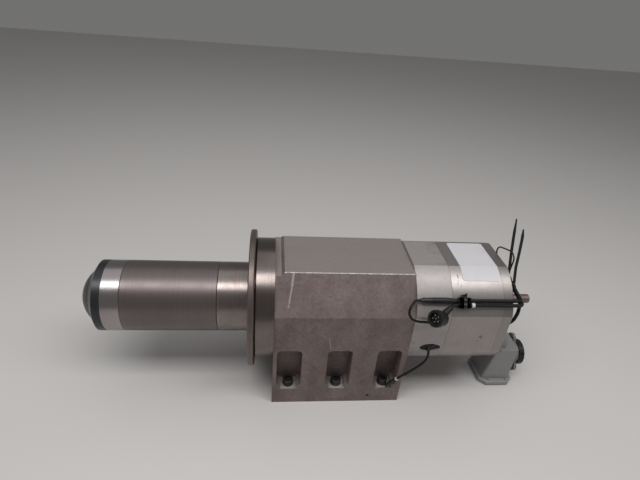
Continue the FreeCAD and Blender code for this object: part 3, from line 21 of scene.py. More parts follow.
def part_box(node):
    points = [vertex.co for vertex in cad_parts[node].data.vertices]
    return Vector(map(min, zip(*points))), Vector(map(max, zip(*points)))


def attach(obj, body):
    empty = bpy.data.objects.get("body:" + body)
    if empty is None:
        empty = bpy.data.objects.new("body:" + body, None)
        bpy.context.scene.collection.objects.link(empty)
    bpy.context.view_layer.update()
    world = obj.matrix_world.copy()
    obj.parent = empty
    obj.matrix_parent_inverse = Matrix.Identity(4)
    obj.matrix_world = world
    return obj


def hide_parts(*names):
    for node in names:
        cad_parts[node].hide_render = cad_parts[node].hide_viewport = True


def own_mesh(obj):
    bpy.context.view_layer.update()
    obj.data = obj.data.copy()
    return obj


LOG = logging.getLogger("motor_spindle")
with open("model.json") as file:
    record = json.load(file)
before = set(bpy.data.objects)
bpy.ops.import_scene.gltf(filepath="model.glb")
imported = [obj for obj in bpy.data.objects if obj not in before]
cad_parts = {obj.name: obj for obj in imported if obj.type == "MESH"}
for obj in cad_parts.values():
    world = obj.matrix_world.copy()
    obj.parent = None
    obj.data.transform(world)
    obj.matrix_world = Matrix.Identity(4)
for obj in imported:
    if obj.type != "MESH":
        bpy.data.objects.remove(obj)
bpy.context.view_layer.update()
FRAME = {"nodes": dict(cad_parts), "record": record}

# Sizes and places of the CAD.
AXIS_HEIGHT = 0.162
MOTOR_RADIUS = 0.104
MOTOR_FLAT = 0.097
MOTOR_FRONT = 0.1155
PAD_TOP = 0.0345
HOUSING_TOP_FROM = 0.245
WHITE_SLEEVE_FROM = 0.2032
FITTING_RIM_FROM = 0.3622
WHITE_TIE_TO = 0.1085

# How the faces of a second finish are picked.
UPWARD = 0.8
LEVEL = 0.9
PAD_REACH = 0.0012
INSERT_SIDE = 0.008

# Strengths that all finishes share.
BEVEL_SAMPLES = 4
EDGE_GAIN = 6.0
WEAR_REACH = 0.0012
MARK_GAIN = 1.6
FRAY_SCALE = 420.0
LATHE_SHARE = 0.8
TONE_SPREAD = 0.22
GLOSS_SPREAD = 0.15
NOISE_LOW = 0.3
NOISE_HIGH = 0.7

Colour = tuple[float, float, float]
Point = tuple[float, float, float]
Socket = tuple[bpy.types.Node, str | int]
Inputs = dict[str | int, object]


class Texture(Enum):
    """Ways in which a surface pattern can run over a piece."""

    PLAIN = "plain"
    TURNED = "turned"
    CAST = "cast"


class MarkShape(Enum):
    """The forms that a mark on a surface takes."""

    STREAK = "streak"
    GIRTH = "girth"


@dataclass(frozen=True)
class Mark:
    """A worn, stained or scratched place, or a painted highlight, at a fixed spot of a surface."""

    start: Point
    end: Point
    width: float
    colour: Colour
    shape: MarkShape = MarkShape.STREAK
    fray: float = 0.0
    strength: float = 1.0


class Sheet:
    """A node tree with short calls to add and join its nodes."""

    tree: bpy.types.NodeTree

    def add(self, kind: str, inputs: Inputs | None = None, **settings: object) -> bpy.types.Node:
        """Add a node.

        Args:
            kind: the node's type.
            inputs: values or (node, socket) pairs for its inputs.
            settings: properties of the node.

        Returns:
            The new node.
        """
        node = self.tree.nodes.new(kind)
        for key, value in settings.items():
            setattr(node, key, value)
        self.feed(node, inputs or {})
        return node

    def feed(self, node: bpy.types.Node, inputs: Inputs) -> None:
        """Fill inputs of a node.

        Args:
            node: the node.
            inputs: a value or a (node, socket) pair for each input.
        """
        for key, value in inputs.items():
            if isinstance(value, tuple) and isinstance(value[0], bpy.types.Node):
                self.tree.links.new(value[0].outputs[value[1]], node.inputs[key])
            else:
                node.inputs[key].default_value = value

    def math(self, operation: str, first: object, second: object = 0.0, clamp: bool = False) -> Socket:
        """Add a Math node.

        Args:
            operation: the node's operation.
            first: its first input, a number or a (node, socket) pair.
            second: its second input.
            clamp: whether the result stays between 0 and 1.

        Returns:
            The result.
        """
        return self.add("ShaderNodeMath", {0: first, 1: second}, operation=operation, use_clamp=clamp), 0

    def vectors(self, operation: str, inputs: Inputs, out: str = "Vector") -> Socket:
        """Add a Vector Math node.

        Args:
            operation: the node's operation.
            inputs: values or (node, socket) pairs for its inputs.
            out: the output that is used.

        Returns:
            The result.
        """
        return self.add("ShaderNodeVectorMath", inputs, operation=operation), out


class NodeSheet(Sheet):
    """A material's node tree, with the patterns that finishes are made of."""

    def __init__(self, name: str) -> None:
        """Start an empty material with a shader and an output.

        Args:
            name: the material's name.
        """
        self.material = bpy.data.materials.new(name)
        self.material.use_nodes = True
        self.tree = self.material.node_tree
        self.tree.nodes.clear()
        output = self.add("ShaderNodeOutputMaterial")
        self.shader = self.add("ShaderNodeBsdfPrincipled")
        self.feed(output, {"Surface": (self.shader, "BSDF")})
        self.place = (self.add("ShaderNodeTexCoord"), "Object")

    def noise(self, scale: float, detail: float, roughness: float = 0.55, stretch: Point = (1, 1, 1),
              shift: Point = (0, 0, 0)) -> Socket:
        """Add a noise texture on Object coordinates.

        Args:
            scale: cycles per metre.
            detail: octaves.
            roughness: weight of the finer octaves.
            stretch: a factor of the scale along each axis.
            shift: where the pattern starts.

        Returns:
            The texture's value.
        """
        mapping = self.add("ShaderNodeMapping", {"Scale": stretch, "Location": shift, "Vector": self.place})
        texture = self.add("ShaderNodeTexNoise", {"Scale": scale, "Detail": detail, "Roughness": roughness,
                                                  "Vector": (mapping, "Vector")})
        return texture, "Fac"

    def ramp(self, source: Socket, *stops: tuple[float, Colour]) -> Socket:
        """Add a colour ramp.

        Args:
            source: the value that drives it.
            stops: positions with their colours.

        Returns:
            The ramp's colour.
        """
        node = self.add("ShaderNodeValToRGB", {"Fac": source})
        elements = node.color_ramp.elements
        while len(elements) < len(stops):
            elements.new(0.5)
        for element, (position, colour) in zip(elements, stops):
            element.position = position
            element.color = (*colour, 1.0)
        return node, "Color"

    def mix(self, factor: Socket | float, first: Socket, second: Socket | Colour,
            blend: str = "MIX") -> Socket:
        """Mix two colours.

        Args:
            factor: the share of the second colour.
            first: the colour at factor 0.
            second: the colour at factor 1.
            blend: how the second colour acts on the first.

        Returns:
            The mixed colour.
        """
        if not isinstance(second[0], bpy.types.Node):
            second = (*second, 1.0)
        node = self.add("ShaderNodeMix", {0: factor, 6: first, 7: second}, data_type="RGBA",
                        blend_type=blend)
        return node, 2

    def lathe_lines(self, per_metre: float) -> Socket:
        """A fine pattern that runs round the spindle axis on rims and faces.

        Args:
            per_metre: lines per metre.

        Returns:
            The pattern's value.
        """
        axes = self.add("ShaderNodeSeparateXYZ", {"Vector": self.place})
        up = self.math("SUBTRACT", (axes, "Z"), AXIS_HEIGHT)
        across = self.math("MULTIPLY", (axes, "Y"), (axes, "Y"))
        radius = self.math("SQRT", self.math("ADD", across, self.math("MULTIPLY", up, up)))
        run = self.math("ADD", (axes, "X"), radius)
        texture = self.add("ShaderNodeTexNoise", {"Scale": per_metre, "Detail": 4.0, "W": run},
                           noise_dimensions="1D")
        return texture, "Fac"

    def mark(self, mark: Mark) -> Socket:
        """The share of a mark's colour at each point.

        Args:
            mark: the mark.

        Returns:
            The share, from 0 to 1.
        """
        if mark.shape is MarkShape.GIRTH:
            axes = self.add("ShaderNodeSeparateXYZ", {"Vector": self.place})
            gap = self.math("ABSOLUTE", self.math("SUBTRACT", (axes, "X"), mark.start[0]))
        else:
            run = Vector(mark.end) - Vector(mark.start)
            offset = self.vectors("SUBTRACT", {0: self.place, 1: Vector(mark.start)})
            along = self.vectors("DOT_PRODUCT", {0: offset, 1: run / run.length_squared}, "Value")
            nearest = self.vectors("SCALE", {0: run, "Scale": self.math("ADD", along, clamp=True)})
            gap = self.vectors("DISTANCE", {0: offset, 1: nearest}, "Value")
        if mark.fray:
            ragged = self.math("SUBTRACT", self.noise(FRAY_SCALE, 4.0, 0.7), 0.5)
            gap = self.math("ADD", gap, self.math("MULTIPLY", ragged, mark.fray))
        inside = self.math("SUBTRACT", mark.width, gap)
        return self.math("MULTIPLY", inside, mark.strength * MARK_GAIN / mark.width, clamp=True)

    def edge(self, width: float) -> Socket:
        """How near a point lies to a sharp edge.

        Args:
            width: the reach of the edge in metres.

        Returns:
            The share, from 0 to 1.
        """
        bevel = self.add("ShaderNodeBevel", {"Radius": width}, samples=BEVEL_SAMPLES)
        face = self.add("ShaderNodeNewGeometry")
        alike = self.vectors("DOT_PRODUCT", {0: (bevel, "Normal"), 1: (face, "Normal")}, "Value")
        return self.math("MULTIPLY", self.math("SUBTRACT", 1.0, alike), EDGE_GAIN, clamp=True)

    def bump(self, height: Socket, depth: float, strength: float, soften: float) -> None:
        """Drive the shader's normal from a height, over softened edges.

        Args:
            height: the height, from 0 to 1.
            depth: the full height in metres.
            strength: the bump's strength.
            soften: the radius in metres by which sharp edges are rounded to the eye.
        """
        node = self.add("ShaderNodeBump", {"Distance": depth, "Strength": strength, "Height": height})
        if soften:
            rounding = self.add("ShaderNodeBevel", {"Radius": soften}, samples=BEVEL_SAMPLES)
            self.feed(node, {"Normal": (rounding, "Normal")})
        self.feed(self.shader, {"Normal": (node, "Normal")})


@dataclass(frozen=True)
class Finish:
    """A surface finish with mottled colour, fine bump and worn edges."""

    name: str
    colour: Colour
    dark: Colour
    roughness: float
    metallic: float
    texture: Texture = Texture.PLAIN
    mottle: float = 20.0
    contrast: float = 0.6
    grain: float = 900.0
    depth: float = 0.00003
    strength: float = 0.2
    soften: float = 0.0004
    wear: Colour | None = None
    stain: Colour | None = None
    specular: float = 0.5
    marks: tuple[Mark, ...] = ()
    stretch: Point = (1.0, 1.0, 1.0)
    shading: float = 0.28
    fleck: float = 210.0
    flecking: float = 0.25

    def make(self) -> bpy.types.Material:
        """Build the material.

        Returns:
            The node-based material.
        """
        sheet = NodeSheet(self.name)
        broad = sheet.noise(self.mottle, 6.0, 0.62, self.stretch)
        spread = TONE_SPREAD / self.contrast
        tone = sheet.ramp(broad, (0.5 - spread, self.dark), (0.5 + spread, self.colour))
        if self.texture is Texture.TURNED:
            relief = sheet.lathe_lines(self.grain)
            shade = sheet.ramp(relief, (NOISE_LOW, (1.0 - self.shading,) * 3), (NOISE_HIGH, (1.0,) * 3))
            tone = sheet.mix(LATHE_SHARE, tone, shade, "MULTIPLY")
        elif self.texture is Texture.CAST:
            relief = sheet.noise(self.grain, 6.0, 0.7)
            specks = sheet.noise(self.fleck, 5.0, 0.75)
            flecks = sheet.ramp(specks, (0.36, (0.74, 0.70, 0.69)), (0.5, (0.97,) * 3), (0.66, (1.16,) * 3))
            tone = sheet.mix(self.flecking, tone, flecks, "MULTIPLY")
        else:
            relief = sheet.noise(self.grain, 4.0)
        sheet.bump(relief, self.depth, self.strength, self.soften)
        if self.stain:
            spots = sheet.noise(self.mottle * 2.3, 6.0, 0.68, shift=(0.3, 0.1, 0.7))
            tone = sheet.mix(sheet.ramp(spots, (0.56, (0, 0, 0)), (0.7, (1, 1, 1))), tone, self.stain)
        if self.wear:
            tone = sheet.mix(sheet.edge(WEAR_REACH), tone, self.wear)
        for mark in self.marks:
            tone = sheet.mix(sheet.mark(mark), tone, mark.colour)
        dull, glossy = self.roughness * (1.0 + GLOSS_SPREAD), self.roughness * (1.0 - GLOSS_SPREAD)
        gloss = sheet.ramp(broad, (NOISE_LOW, (dull,) * 3), (NOISE_HIGH, (glossy,) * 3))
        sheet.feed(sheet.shader, {"Metallic": self.metallic, "Specular IOR Level": self.specular,
                                  "Base Color": tone, "Roughness": gloss})
        return sheet.material


# Scratches and rust spots on the housing, and a painted highlight along its top edge.
CAST_MARKS_AND_HIGHLIGHT = (
    Mark((-0.0835, -0.0563, 0.2536), (-0.0856, -0.0674, 0.2376), 0.0026, (0.44, 0.41, 0.39), fray=0.0020,
         strength=0.55),
    Mark((-0.0856, -0.0674, 0.2376), (-0.0899, -0.0840, 0.2137), 0.0018, (0.42, 0.39, 0.37), fray=0.0018,
         strength=0.5),
    Mark((-0.0905, -0.0858, 0.2110), (-0.0905, -0.0872, 0.2090), 0.0022, (0.40, 0.37, 0.35), fray=0.003,
         strength=0.5),
    Mark((-0.0223, -0.097, 0.1532), (-0.0172, -0.097, 0.1276), 0.0010, (0.36, 0.33, 0.31), fray=0.0012,
         strength=0.6),
    # A thin light line along the edge between the housing's top and its chamfer: a painted highlight.
    Mark((-0.1000, -0.0562, 0.2534), (0.1130, -0.0562, 0.2534), 0.0008, (0.48, 0.46, 0.44), fray=0.0050,
         strength=0.6),
    Mark((-0.1125, -0.060, 0.248), (-0.1120, -0.086, 0.208), 0.0030, (0.33, 0.20, 0.10), fray=0.006,
         strength=0.4),
    Mark((-0.1125, -0.020, 0.2485), (-0.1120, 0.030, 0.2485), 0.0025, (0.34, 0.21, 0.11), fray=0.006,
         strength=0.4),
)
MOTOR_MARKS = (
    Mark((0.1745, 0.0, 0.0), (0.1745, 0.0, 0.0), 0.00035, (0.10, 0.09, 0.085), MarkShape.GIRTH),
    Mark((0.2625, 0.0, 0.0), (0.2625, 0.0, 0.0), 0.00030, (0.14, 0.13, 0.125), MarkShape.GIRTH),
    Mark((0.2560, 0.0, 0.0), (0.2560, 0.0, 0.0), 0.00018, (0.20, 0.19, 0.18), MarkShape.GIRTH,
         strength=0.5),
    Mark((0.2340, -0.0972, 0.1565), (0.2362, -0.0972, 0.1545), 0.0040, (0.10, 0.085, 0.075), fray=0.007,
         strength=0.5),
    Mark((0.2310, -0.0972, 0.1480), (0.2330, -0.0972, 0.1470), 0.0022, (0.17, 0.15, 0.135), fray=0.005,
         strength=0.4),
    Mark((0.1862, -0.0523, 0.2519), (0.1868, -0.0585, 0.2485), 0.0012, (0.12, 0.10, 0.09), fray=0.0022,
         strength=0.8),
    Mark((0.1868, -0.0600, 0.2475), (0.1848, -0.0675, 0.2417), 0.0010, (0.14, 0.12, 0.11), fray=0.0022,
         strength=0.7),
    Mark((0.1905, -0.0665, 0.2420), (0.1898, -0.0710, 0.2385), 0.0008, (0.15, 0.13, 0.12), fray=0.0018,
         strength=0.7),
)
FINISHES = {
    "casting": Finish(
        "CastSkin", (0.225, 0.180, 0.170), (0.130, 0.097, 0.092), 0.55, 0.2, Texture.CAST, mottle=34,
        contrast=0.8, grain=1300, depth=0.0005, strength=0.40, soften=0.0008, stain=(0.165, 0.105, 0.092),
        marks=CAST_MARKS_AND_HIGHLIGHT, stretch=(1.0, 1.0, 0.55), fleck=230.0, flecking=0.85),
    "machined_top": Finish(
        "MachinedTop", (0.300, 0.270, 0.258), (0.245, 0.216, 0.205), 0.42, 0.35, Texture.CAST, mottle=16,
        contrast=0.7, grain=2200, depth=0.00008, strength=0.25, soften=0.0006, marks=CAST_MARKS_AND_HIGHLIGHT,
        stretch=(0.35, 1.0, 1.0), flecking=0.2),
    "machined_pad": Finish(
        "MachinedPad", (0.46, 0.435, 0.405), (0.26, 0.24, 0.215), 0.45, 0.3, mottle=120, contrast=0.8,
        grain=1800, depth=0.0001, strength=0.3, soften=0.0003),
    "ground_steel": Finish(
        "GroundSteel", (0.37, 0.325, 0.305), (0.22, 0.185, 0.172), 0.28, 0.9, Texture.TURNED, contrast=0.8,
        grain=1100, strength=0.3, stain=(0.25, 0.175, 0.145), shading=0.45),
    # Ground steel darkened for the front collar: painted shade for the disc's shadow on it.
    "collar_steel_painted_shade": Finish(
        "CollarSteelPaintedShade", (0.27, 0.232, 0.218), (0.165, 0.136, 0.127), 0.24, 0.95, Texture.TURNED,
        contrast=0.8, grain=1100, strength=0.3, stain=(0.20, 0.135, 0.11), shading=0.45),
    "disc_steel": Finish(
        "DarkDisc", (0.205, 0.162, 0.150), (0.130, 0.100, 0.090), 0.38, 0.75, Texture.TURNED, mottle=25,
        contrast=0.8, grain=700, depth=0.00004, strength=0.3, soften=0.0005, wear=(0.27, 0.225, 0.205),
        stain=(0.17, 0.095, 0.06)),
    "dark_sleeve": Finish(
        "DarkSleeve", (0.200, 0.168, 0.165), (0.150, 0.124, 0.121), 0.36, 0.75, Texture.TURNED, mottle=14,
        grain=420, depth=0.00002, soften=0.0003, stretch=(1.0, 0.4, 0.4), shading=0.16),
    "bright_ring": Finish(
        "BrightRing", (0.42, 0.385, 0.385), (0.33, 0.295, 0.295), 0.26, 0.95, Texture.TURNED, contrast=0.7,
        depth=0.00002, shading=0.2),
    "black_ring": Finish(
        "BlackRing", (0.048, 0.047, 0.053), (0.032, 0.031, 0.036), 0.34, 0.55, Texture.TURNED, grain=600,
        depth=0.00002, soften=0.0005, wear=(0.06, 0.058, 0.06), shading=0.15),
    "cap": Finish(
        "CapPlastic", (0.055, 0.046, 0.043), (0.038, 0.031, 0.029), 0.40, 0.0, mottle=24, contrast=0.7,
        grain=1400, depth=0.00004),
    "bearing_steel": Finish(
        "BearingSteel", (0.62, 0.62, 0.63), (0.5, 0.5, 0.51), 0.12, 1.0, Texture.TURNED, contrast=0.5,
        depth=0.00001, strength=0.1, soften=0.0003),
    "shaft_steel": Finish(
        "ShaftSteel", (0.52, 0.52, 0.53), (0.42, 0.42, 0.42), 0.24, 1.0, Texture.TURNED, contrast=0.5,
        depth=0.00002, soften=0.0003),
    "spring_steel": Finish(
        "SpringSteel", (0.16, 0.16, 0.175), (0.10, 0.10, 0.11), 0.45, 0.8, mottle=60, contrast=0.8,
        grain=1500, soften=0.0003),
    "seal": Finish(
        "SealRubber", (0.022, 0.020, 0.020), (0.014, 0.013, 0.013), 0.7, 0.0, mottle=60, contrast=0.7,
        grain=1500, depth=0.00005, strength=0.25),
    "motor_cast": Finish(
        "MotorAluminium", (0.40, 0.368, 0.355), (0.315, 0.285, 0.272), 0.38, 0.82, Texture.CAST, mottle=10,
        grain=1600, depth=0.00010, strength=0.22, soften=0.0006, stain=(0.31, 0.275, 0.255),
        marks=MOTOR_MARKS, stretch=(0.5, 1.0, 1.0)),
    "motor_dull": Finish(
        "DullAluminium", (0.40, 0.372, 0.365), (0.31, 0.282, 0.275), 0.50, 0.5, Texture.CAST, mottle=12,
        grain=1600, depth=0.00010, strength=0.22, soften=0.0006, stain=(0.27, 0.235, 0.22),
        marks=MOTOR_MARKS, stretch=(0.5, 1.0, 1.0)),
    "motor_turned": Finish(
        "TurnedAluminium", (0.40, 0.368, 0.355), (0.315, 0.285, 0.272), 0.36, 0.85, Texture.TURNED,
        mottle=10, grain=1500, depth=0.00004, strength=0.3, soften=0.0006, marks=MOTOR_MARKS, shading=0.3),
    "laminations": Finish(
        "Laminations", (0.14, 0.14, 0.15), (0.09, 0.09, 0.10), 0.5, 0.8, Texture.TURNED, mottle=30,
        grain=2000, depth=0.00006, strength=0.4, soften=0.0003),
    "copper": Finish(
        "EnamelledCopper", (0.50, 0.20, 0.09), (0.34, 0.12, 0.05), 0.3, 0.8, Texture.TURNED, mottle=60,
        contrast=0.8, grain=800, depth=0.0003, strength=0.5),
    "cage_cast": Finish(
        "CageAluminium", (0.6, 0.6, 0.61), (0.5, 0.5, 0.5), 0.35, 0.9, Texture.CAST, mottle=30, grain=1200,
        depth=0.0001),
    "black_steel": Finish(
        "BlackSteel", (0.040, 0.038, 0.038), (0.024, 0.022, 0.022), 0.38, 0.7, mottle=90, contrast=0.8,
        grain=2500, wear=(0.17, 0.155, 0.145), stain=(0.09, 0.05, 0.03)),
    "cylinder_black": Finish(
        "SatinBlack", (0.018, 0.0175, 0.018), (0.011, 0.0105, 0.011), 0.42, 0.2, Texture.CAST, mottle=40,
        grain=1500, depth=0.00008, strength=0.25, soften=0.0005, wear=(0.05, 0.047, 0.045), specular=0.35),
    "red_fitting": Finish(
        "BrownFitting", (0.255, 0.195, 0.170), (0.175, 0.130, 0.112), 0.40, 0.55, Texture.TURNED, mottle=60,
        contrast=0.8, depth=0.00004, strength=0.3, wear=(0.26, 0.20, 0.17)),
    "fitting_rim": Finish(
        "RedRim", (0.30, 0.085, 0.06), (0.18, 0.05, 0.036), 0.42, 0.3, Texture.TURNED, mottle=60,
        contrast=0.8, depth=0.00004, strength=0.3),
    "lead_black": Finish(
        "LeadJacket", (0.012, 0.012, 0.0125), (0.007, 0.007, 0.0075), 0.5, 0.0, mottle=90, contrast=0.7,
        grain=1400, depth=0.00005, strength=0.25, soften=0.0, specular=0.22),
    "tape_black": Finish(
        "TapeBlack", (0.014, 0.014, 0.0145), (0.008, 0.008, 0.0085), 0.42, 0.0, mottle=130, contrast=0.9,
        depth=0.0002, strength=0.4, soften=0.0003, specular=0.35),
    "connector_metal": Finish(
        "NickelPlate", (0.62, 0.61, 0.58), (0.46, 0.45, 0.43), 0.24, 1.0, mottle=120, contrast=0.8,
        grain=1800, soften=0.0003),
    "insert_black": Finish(
        "MouldedBlack", (0.013, 0.013, 0.013), (0.008, 0.008, 0.008), 0.45, 0.0, mottle=120, grain=2500,
        soften=0.0003),
    "box_grey": Finish(
        "BoxGrey", (0.300, 0.300, 0.302), (0.245, 0.245, 0.247), 0.42, 0.1, Texture.CAST, mottle=16,
        grain=1300, depth=0.00012, strength=0.25, soften=0.0008, wear=(0.33, 0.33, 0.328)),
    "flange_grey": Finish(
        "FlangeGrey", (0.215, 0.213, 0.207), (0.175, 0.173, 0.168), 0.40, 0.2, mottle=30, grain=1500,
        depth=0.00005, soften=0.0006),
    "label_white": Finish(
        "LabelPaper", (0.60, 0.585, 0.605), (0.54, 0.525, 0.545), 0.38, 0.0, mottle=35, grain=600,
        depth=0.00006, strength=0.3, soften=0.0),
    "sleeve_white": Finish(
        "SleeveWhite", (0.66, 0.65, 0.64), (0.55, 0.54, 0.53), 0.5, 0.0, mottle=90, contrast=0.7,
        depth=0.00004, soften=0.0),
}


class FinishShelf:
    """Makes each finish once and hands it out."""

    def __init__(self) -> None:
        """Start with nothing made."""
        self.made: dict[str, bpy.types.Material] = {}

    def take(self, name: str) -> bpy.types.Material:
        """The material of a finish.

        Args:
            name: a key of FINISHES.

        Returns:
            The material, made on its first use.
        """
        if name not in self.made:
            self.made[name] = FINISHES[name].make()
        return self.made[name]


SHELF = FinishShelf()


def piece_from(name: str, mesh: bpy.types.Mesh, finish: str, body: str) -> bpy.types.Object:
    """Make a mesh into a finished piece that rides on a body.

    Args:
        name: the piece's name.
        mesh: its mesh, in place.
        finish: a key of FINISHES.
        body: the CAD body that carries it.

    Returns:
        The new object.
    """
    obj = bpy.data.objects.new(name, mesh)
    bpy.context.scene.collection.objects.link(obj)
    if not mesh.materials:
        mesh.materials.append(SHELF.take(finish))
    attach(obj, body)
    LOG.info("piece %s on %s", name, body)
    return obj


def skin_rings(shape: bmesh.types.BMesh, rings: list[list[bmesh.types.BMVert]]) -> None:
    """Cover closed rings of points, one after the other, with quads.

    Args:
        shape: the shape that holds the points.
        rings: the rings, all with the same number of points.
    """
    count = len(rings[0])
    for low, high in zip(rings, rings[1:]):
        for i in range(count):
            shape.faces.new((low[i], low[(i + 1) % count], high[(i + 1) % count], high[i]))


def mesh_of(shape: bmesh.types.BMesh, name: str) -> bpy.types.Mesh:
    """Turn a shape into a mesh whose faces point outward.

    Args:
        shape: the shape, which is freed.
        name: the mesh's name.

    Returns:
        The mesh.
    """
    bmesh.ops.recalc_face_normals(shape, faces=shape.faces)
    mesh = bpy.data.meshes.new(name)
    shape.to_mesh(mesh)
    shape.free()
    return mesh


@dataclass
class Photographer:
    """The camera at the photograph's angle, the lamps and the pale floor."""

    place: Point = (-0.1227, -0.6377, 0.6657)
    yaw: float = 7.428
    pitch: float = 30.907
    roll: float = 5.187
    focal_px: float = 451.2
    image_width: int = 640
    aim_height: float = 0.12

    def set_camera(self) -> None:
        """Place the camera."""
        yaw, pitch, roll = (math.radians(a) for a in (self.yaw, self.pitch, self.roll))
        ahead = Vector((math.sin(yaw) * math.cos(pitch), math.cos(yaw) * math.cos(pitch), -math.sin(pitch)))
        level = Vector((math.cos(yaw), -math.sin(yaw), 0.0))
        up = level.cross(ahead)
        right = level * math.cos(roll) + up * math.sin(roll)
        top = up * math.cos(roll) - level * math.sin(roll)
        data = bpy.data.cameras.new("photo_camera")
        data.lens = data.sensor_width * self.focal_px / self.image_width
        data.clip_start, data.clip_end = 0.01, 20.0
        camera = bpy.data.objects.new("photo_camera", data)
        turn = Matrix((right, top, -ahead)).transposed()
        camera.matrix_world = Matrix.Translation(Vector(self.place)) @ turn.to_4x4()
        bpy.context.scene.collection.objects.link(camera)
        bpy.context.scene.camera = camera

    def set_floor(self) -> None:
        """Lay the pale floor."""
        bpy.ops.mesh.primitive_plane_add(size=8.0, location=(0, 0, 0))
        floor = bpy.context.object
        floor.name = "floor"
        sheet = NodeSheet("PaleFloor")
        sheet.shader.inputs["Base Color"].default_value = (0.62, 0.60, 0.585, 1.0)
        sheet.shader.inputs["Roughness"].default_value = 0.45
        floor.data.materials.append(sheet.material)

    def set_lamps(self) -> None:
        """Hang the soft lamps and set the world."""
        for name, place, wide, deep, power in (("strip", (-0.05, -0.56, 1.62), 2.8, 0.50, 24.0),
                                               ("ceiling", (0.0, 0.45, 2.3), 3.0, 2.2, 11.5)):
            data = bpy.data.lights.new(name, "AREA")
            data.shape = "RECTANGLE"
            data.size, data.size_y, data.energy = wide, deep, power
            lamp = bpy.data.objects.new(name, data)
            ahead = (Vector((place[0], 0, self.aim_height)) - Vector(place)).normalized()
            across = Vector((1, 0, 0)) - ahead * ahead.x
            across.normalize()
            turn = Matrix((across, (-ahead).cross(across), -ahead)).transposed()
            lamp.matrix_world = Matrix.Translation(Vector(place)) @ turn.to_4x4()
            bpy.context.scene.collection.objects.link(lamp)
        world = bpy.data.worlds.new("studio")
        world.use_nodes = True
        world.node_tree.nodes["Background"].inputs["Color"].default_value = (0.80, 0.79, 0.78, 1.0)
        world.node_tree.nodes["Background"].inputs["Strength"].default_value = 0.21
        bpy.context.scene.world = world
        bpy.context.scene.view_settings.view_transform = "Standard"


def large_islands(mesh: bpy.types.Mesh, least: float) -> set[int]:
    """Find the faces of a mesh's larger separate bodies.

    Args:
        mesh: the mesh.
        least: the longest side of a body's box from which it counts as large.

    Returns:
        The indices of their faces.
    """
    shape = bmesh.new()
    shape.from_mesh(mesh)
    shape.verts.ensure_lookup_table()
    seen: set[int] = set()
    faces: set[int] = set()
    for first in shape.verts:
        if first.index in seen:
            continue
        seen.add(first.index)
        island, waiting = [], [first]
        while waiting:
            vert = waiting.pop()
            island.append(vert)
            for edge in vert.link_edges:
                other = edge.other_vert(vert)
                if other.index not in seen:
                    seen.add(other.index)
                    waiting.append(other)
        extent = max(max(v.co[i] for v in island) - min(v.co[i] for v in island) for i in range(3))
        if extent > least:
            faces.update(face.index for vert in island for face in vert.link_faces)
    shape.free()
    return faces


class CadDresser:
    """Gives each CAD piece its finish, from the record's slots."""

    def dress(self) -> None:
        """Dress every CAD node."""
        slots = {row["node"]: row["material_slot"] for row in FRAME["record"]["subparts"]}
        for name, obj in FRAME["nodes"].items():
            obj.data.materials.clear()
            obj.data.materials.append(SHELF.take(slots[name]))
        LOG.info("dressed %d CAD nodes", len(slots))

    def second_finish(self, node: str, finish: str, chosen: Callable[[bpy.types.MeshPolygon], bool]) -> None:
        """Give some faces of a node another finish.

        Args:
            node: the CAD node.
            finish: a key of FINISHES.
            chosen: says of a face whether it takes the finish.
        """
        obj = FRAME["nodes"][node]
        obj.data.materials.append(SHELF.take(finish))
        index = len(obj.data.materials) - 1
        count = 0
        for face in obj.data.polygons:
            if chosen(face):
                face.material_index = index
                count += 1
        LOG.info("%s: %d faces of %s", finish, count, node)


@dataclass
class MotorLabel:
    """The blank white label that wraps over the motor's upper front corner."""

    front_x: float = 0.1945
    rear_x: float = 0.2598
    back_y: float = 0.0355
    girth: float = 0.1005
    lift: float = 0.00025
    corner: float = 0.0035
    thickness: float = 0.0002

    def on_motor(self, x: float, run: float) -> Point:
        """A point of the label on the motor's flat and round corner.

        Args:
            x: the station.
            run: the distance along the girth from the label's back edge.

        Returns:
            The point in metres.
        """
        half_flat = math.sqrt(MOTOR_RADIUS**2 - MOTOR_FLAT**2)
        y = self.back_y - run
        if y >= -half_flat:
            return (x, y, AXIS_HEIGHT + MOTOR_FLAT + self.lift)
        start = math.asin(half_flat / MOTOR_RADIUS)
        angle = start + (-half_flat - y) / MOTOR_RADIUS
        reach = MOTOR_RADIUS + self.lift
        return (x, -reach * math.sin(angle), AXIS_HEIGHT + reach * math.cos(angle))

    def build(self) -> bpy.types.Object:
        """Make the label.

        Returns:
            The label's object.
        """
        columns, rows = 24, 40
        shape = bmesh.new()
        grid = []
        for j in range(rows + 1):
            run = self.girth * j / rows
            inset = self.round_inset(min(run, self.girth - run))
            near, far = self.front_x + inset, self.rear_x - inset
            grid.append([shape.verts.new(self.on_motor(near + (far - near) * i / columns, run))
                         for i in range(columns + 1)])
        for low, high in zip(grid, grid[1:]):
            for i in range(columns):
                shape.faces.new((low[i], high[i], high[i + 1], low[i + 1]))
        mesh = mesh_of(shape, "motor_label")
        if mesh.polygons[0].normal.z < 0:
            mesh.flip_normals()
        obj = piece_from("motor_label", mesh, "label_white", "root")
        thick = obj.modifiers.new("thickness", "SOLIDIFY")
        thick.thickness = self.thickness
        thick.offset = 1.0
        return obj

    def round_inset(self, run: float) -> float:
        """How far a rounded corner draws the side in.

        Args:
            run: the distance from the label's end.

        Returns:
            The inset in metres.
        """
        if run >= self.corner:
            return 0.0
        return self.corner - math.sqrt(self.corner**2 - (self.corner - run) ** 2)


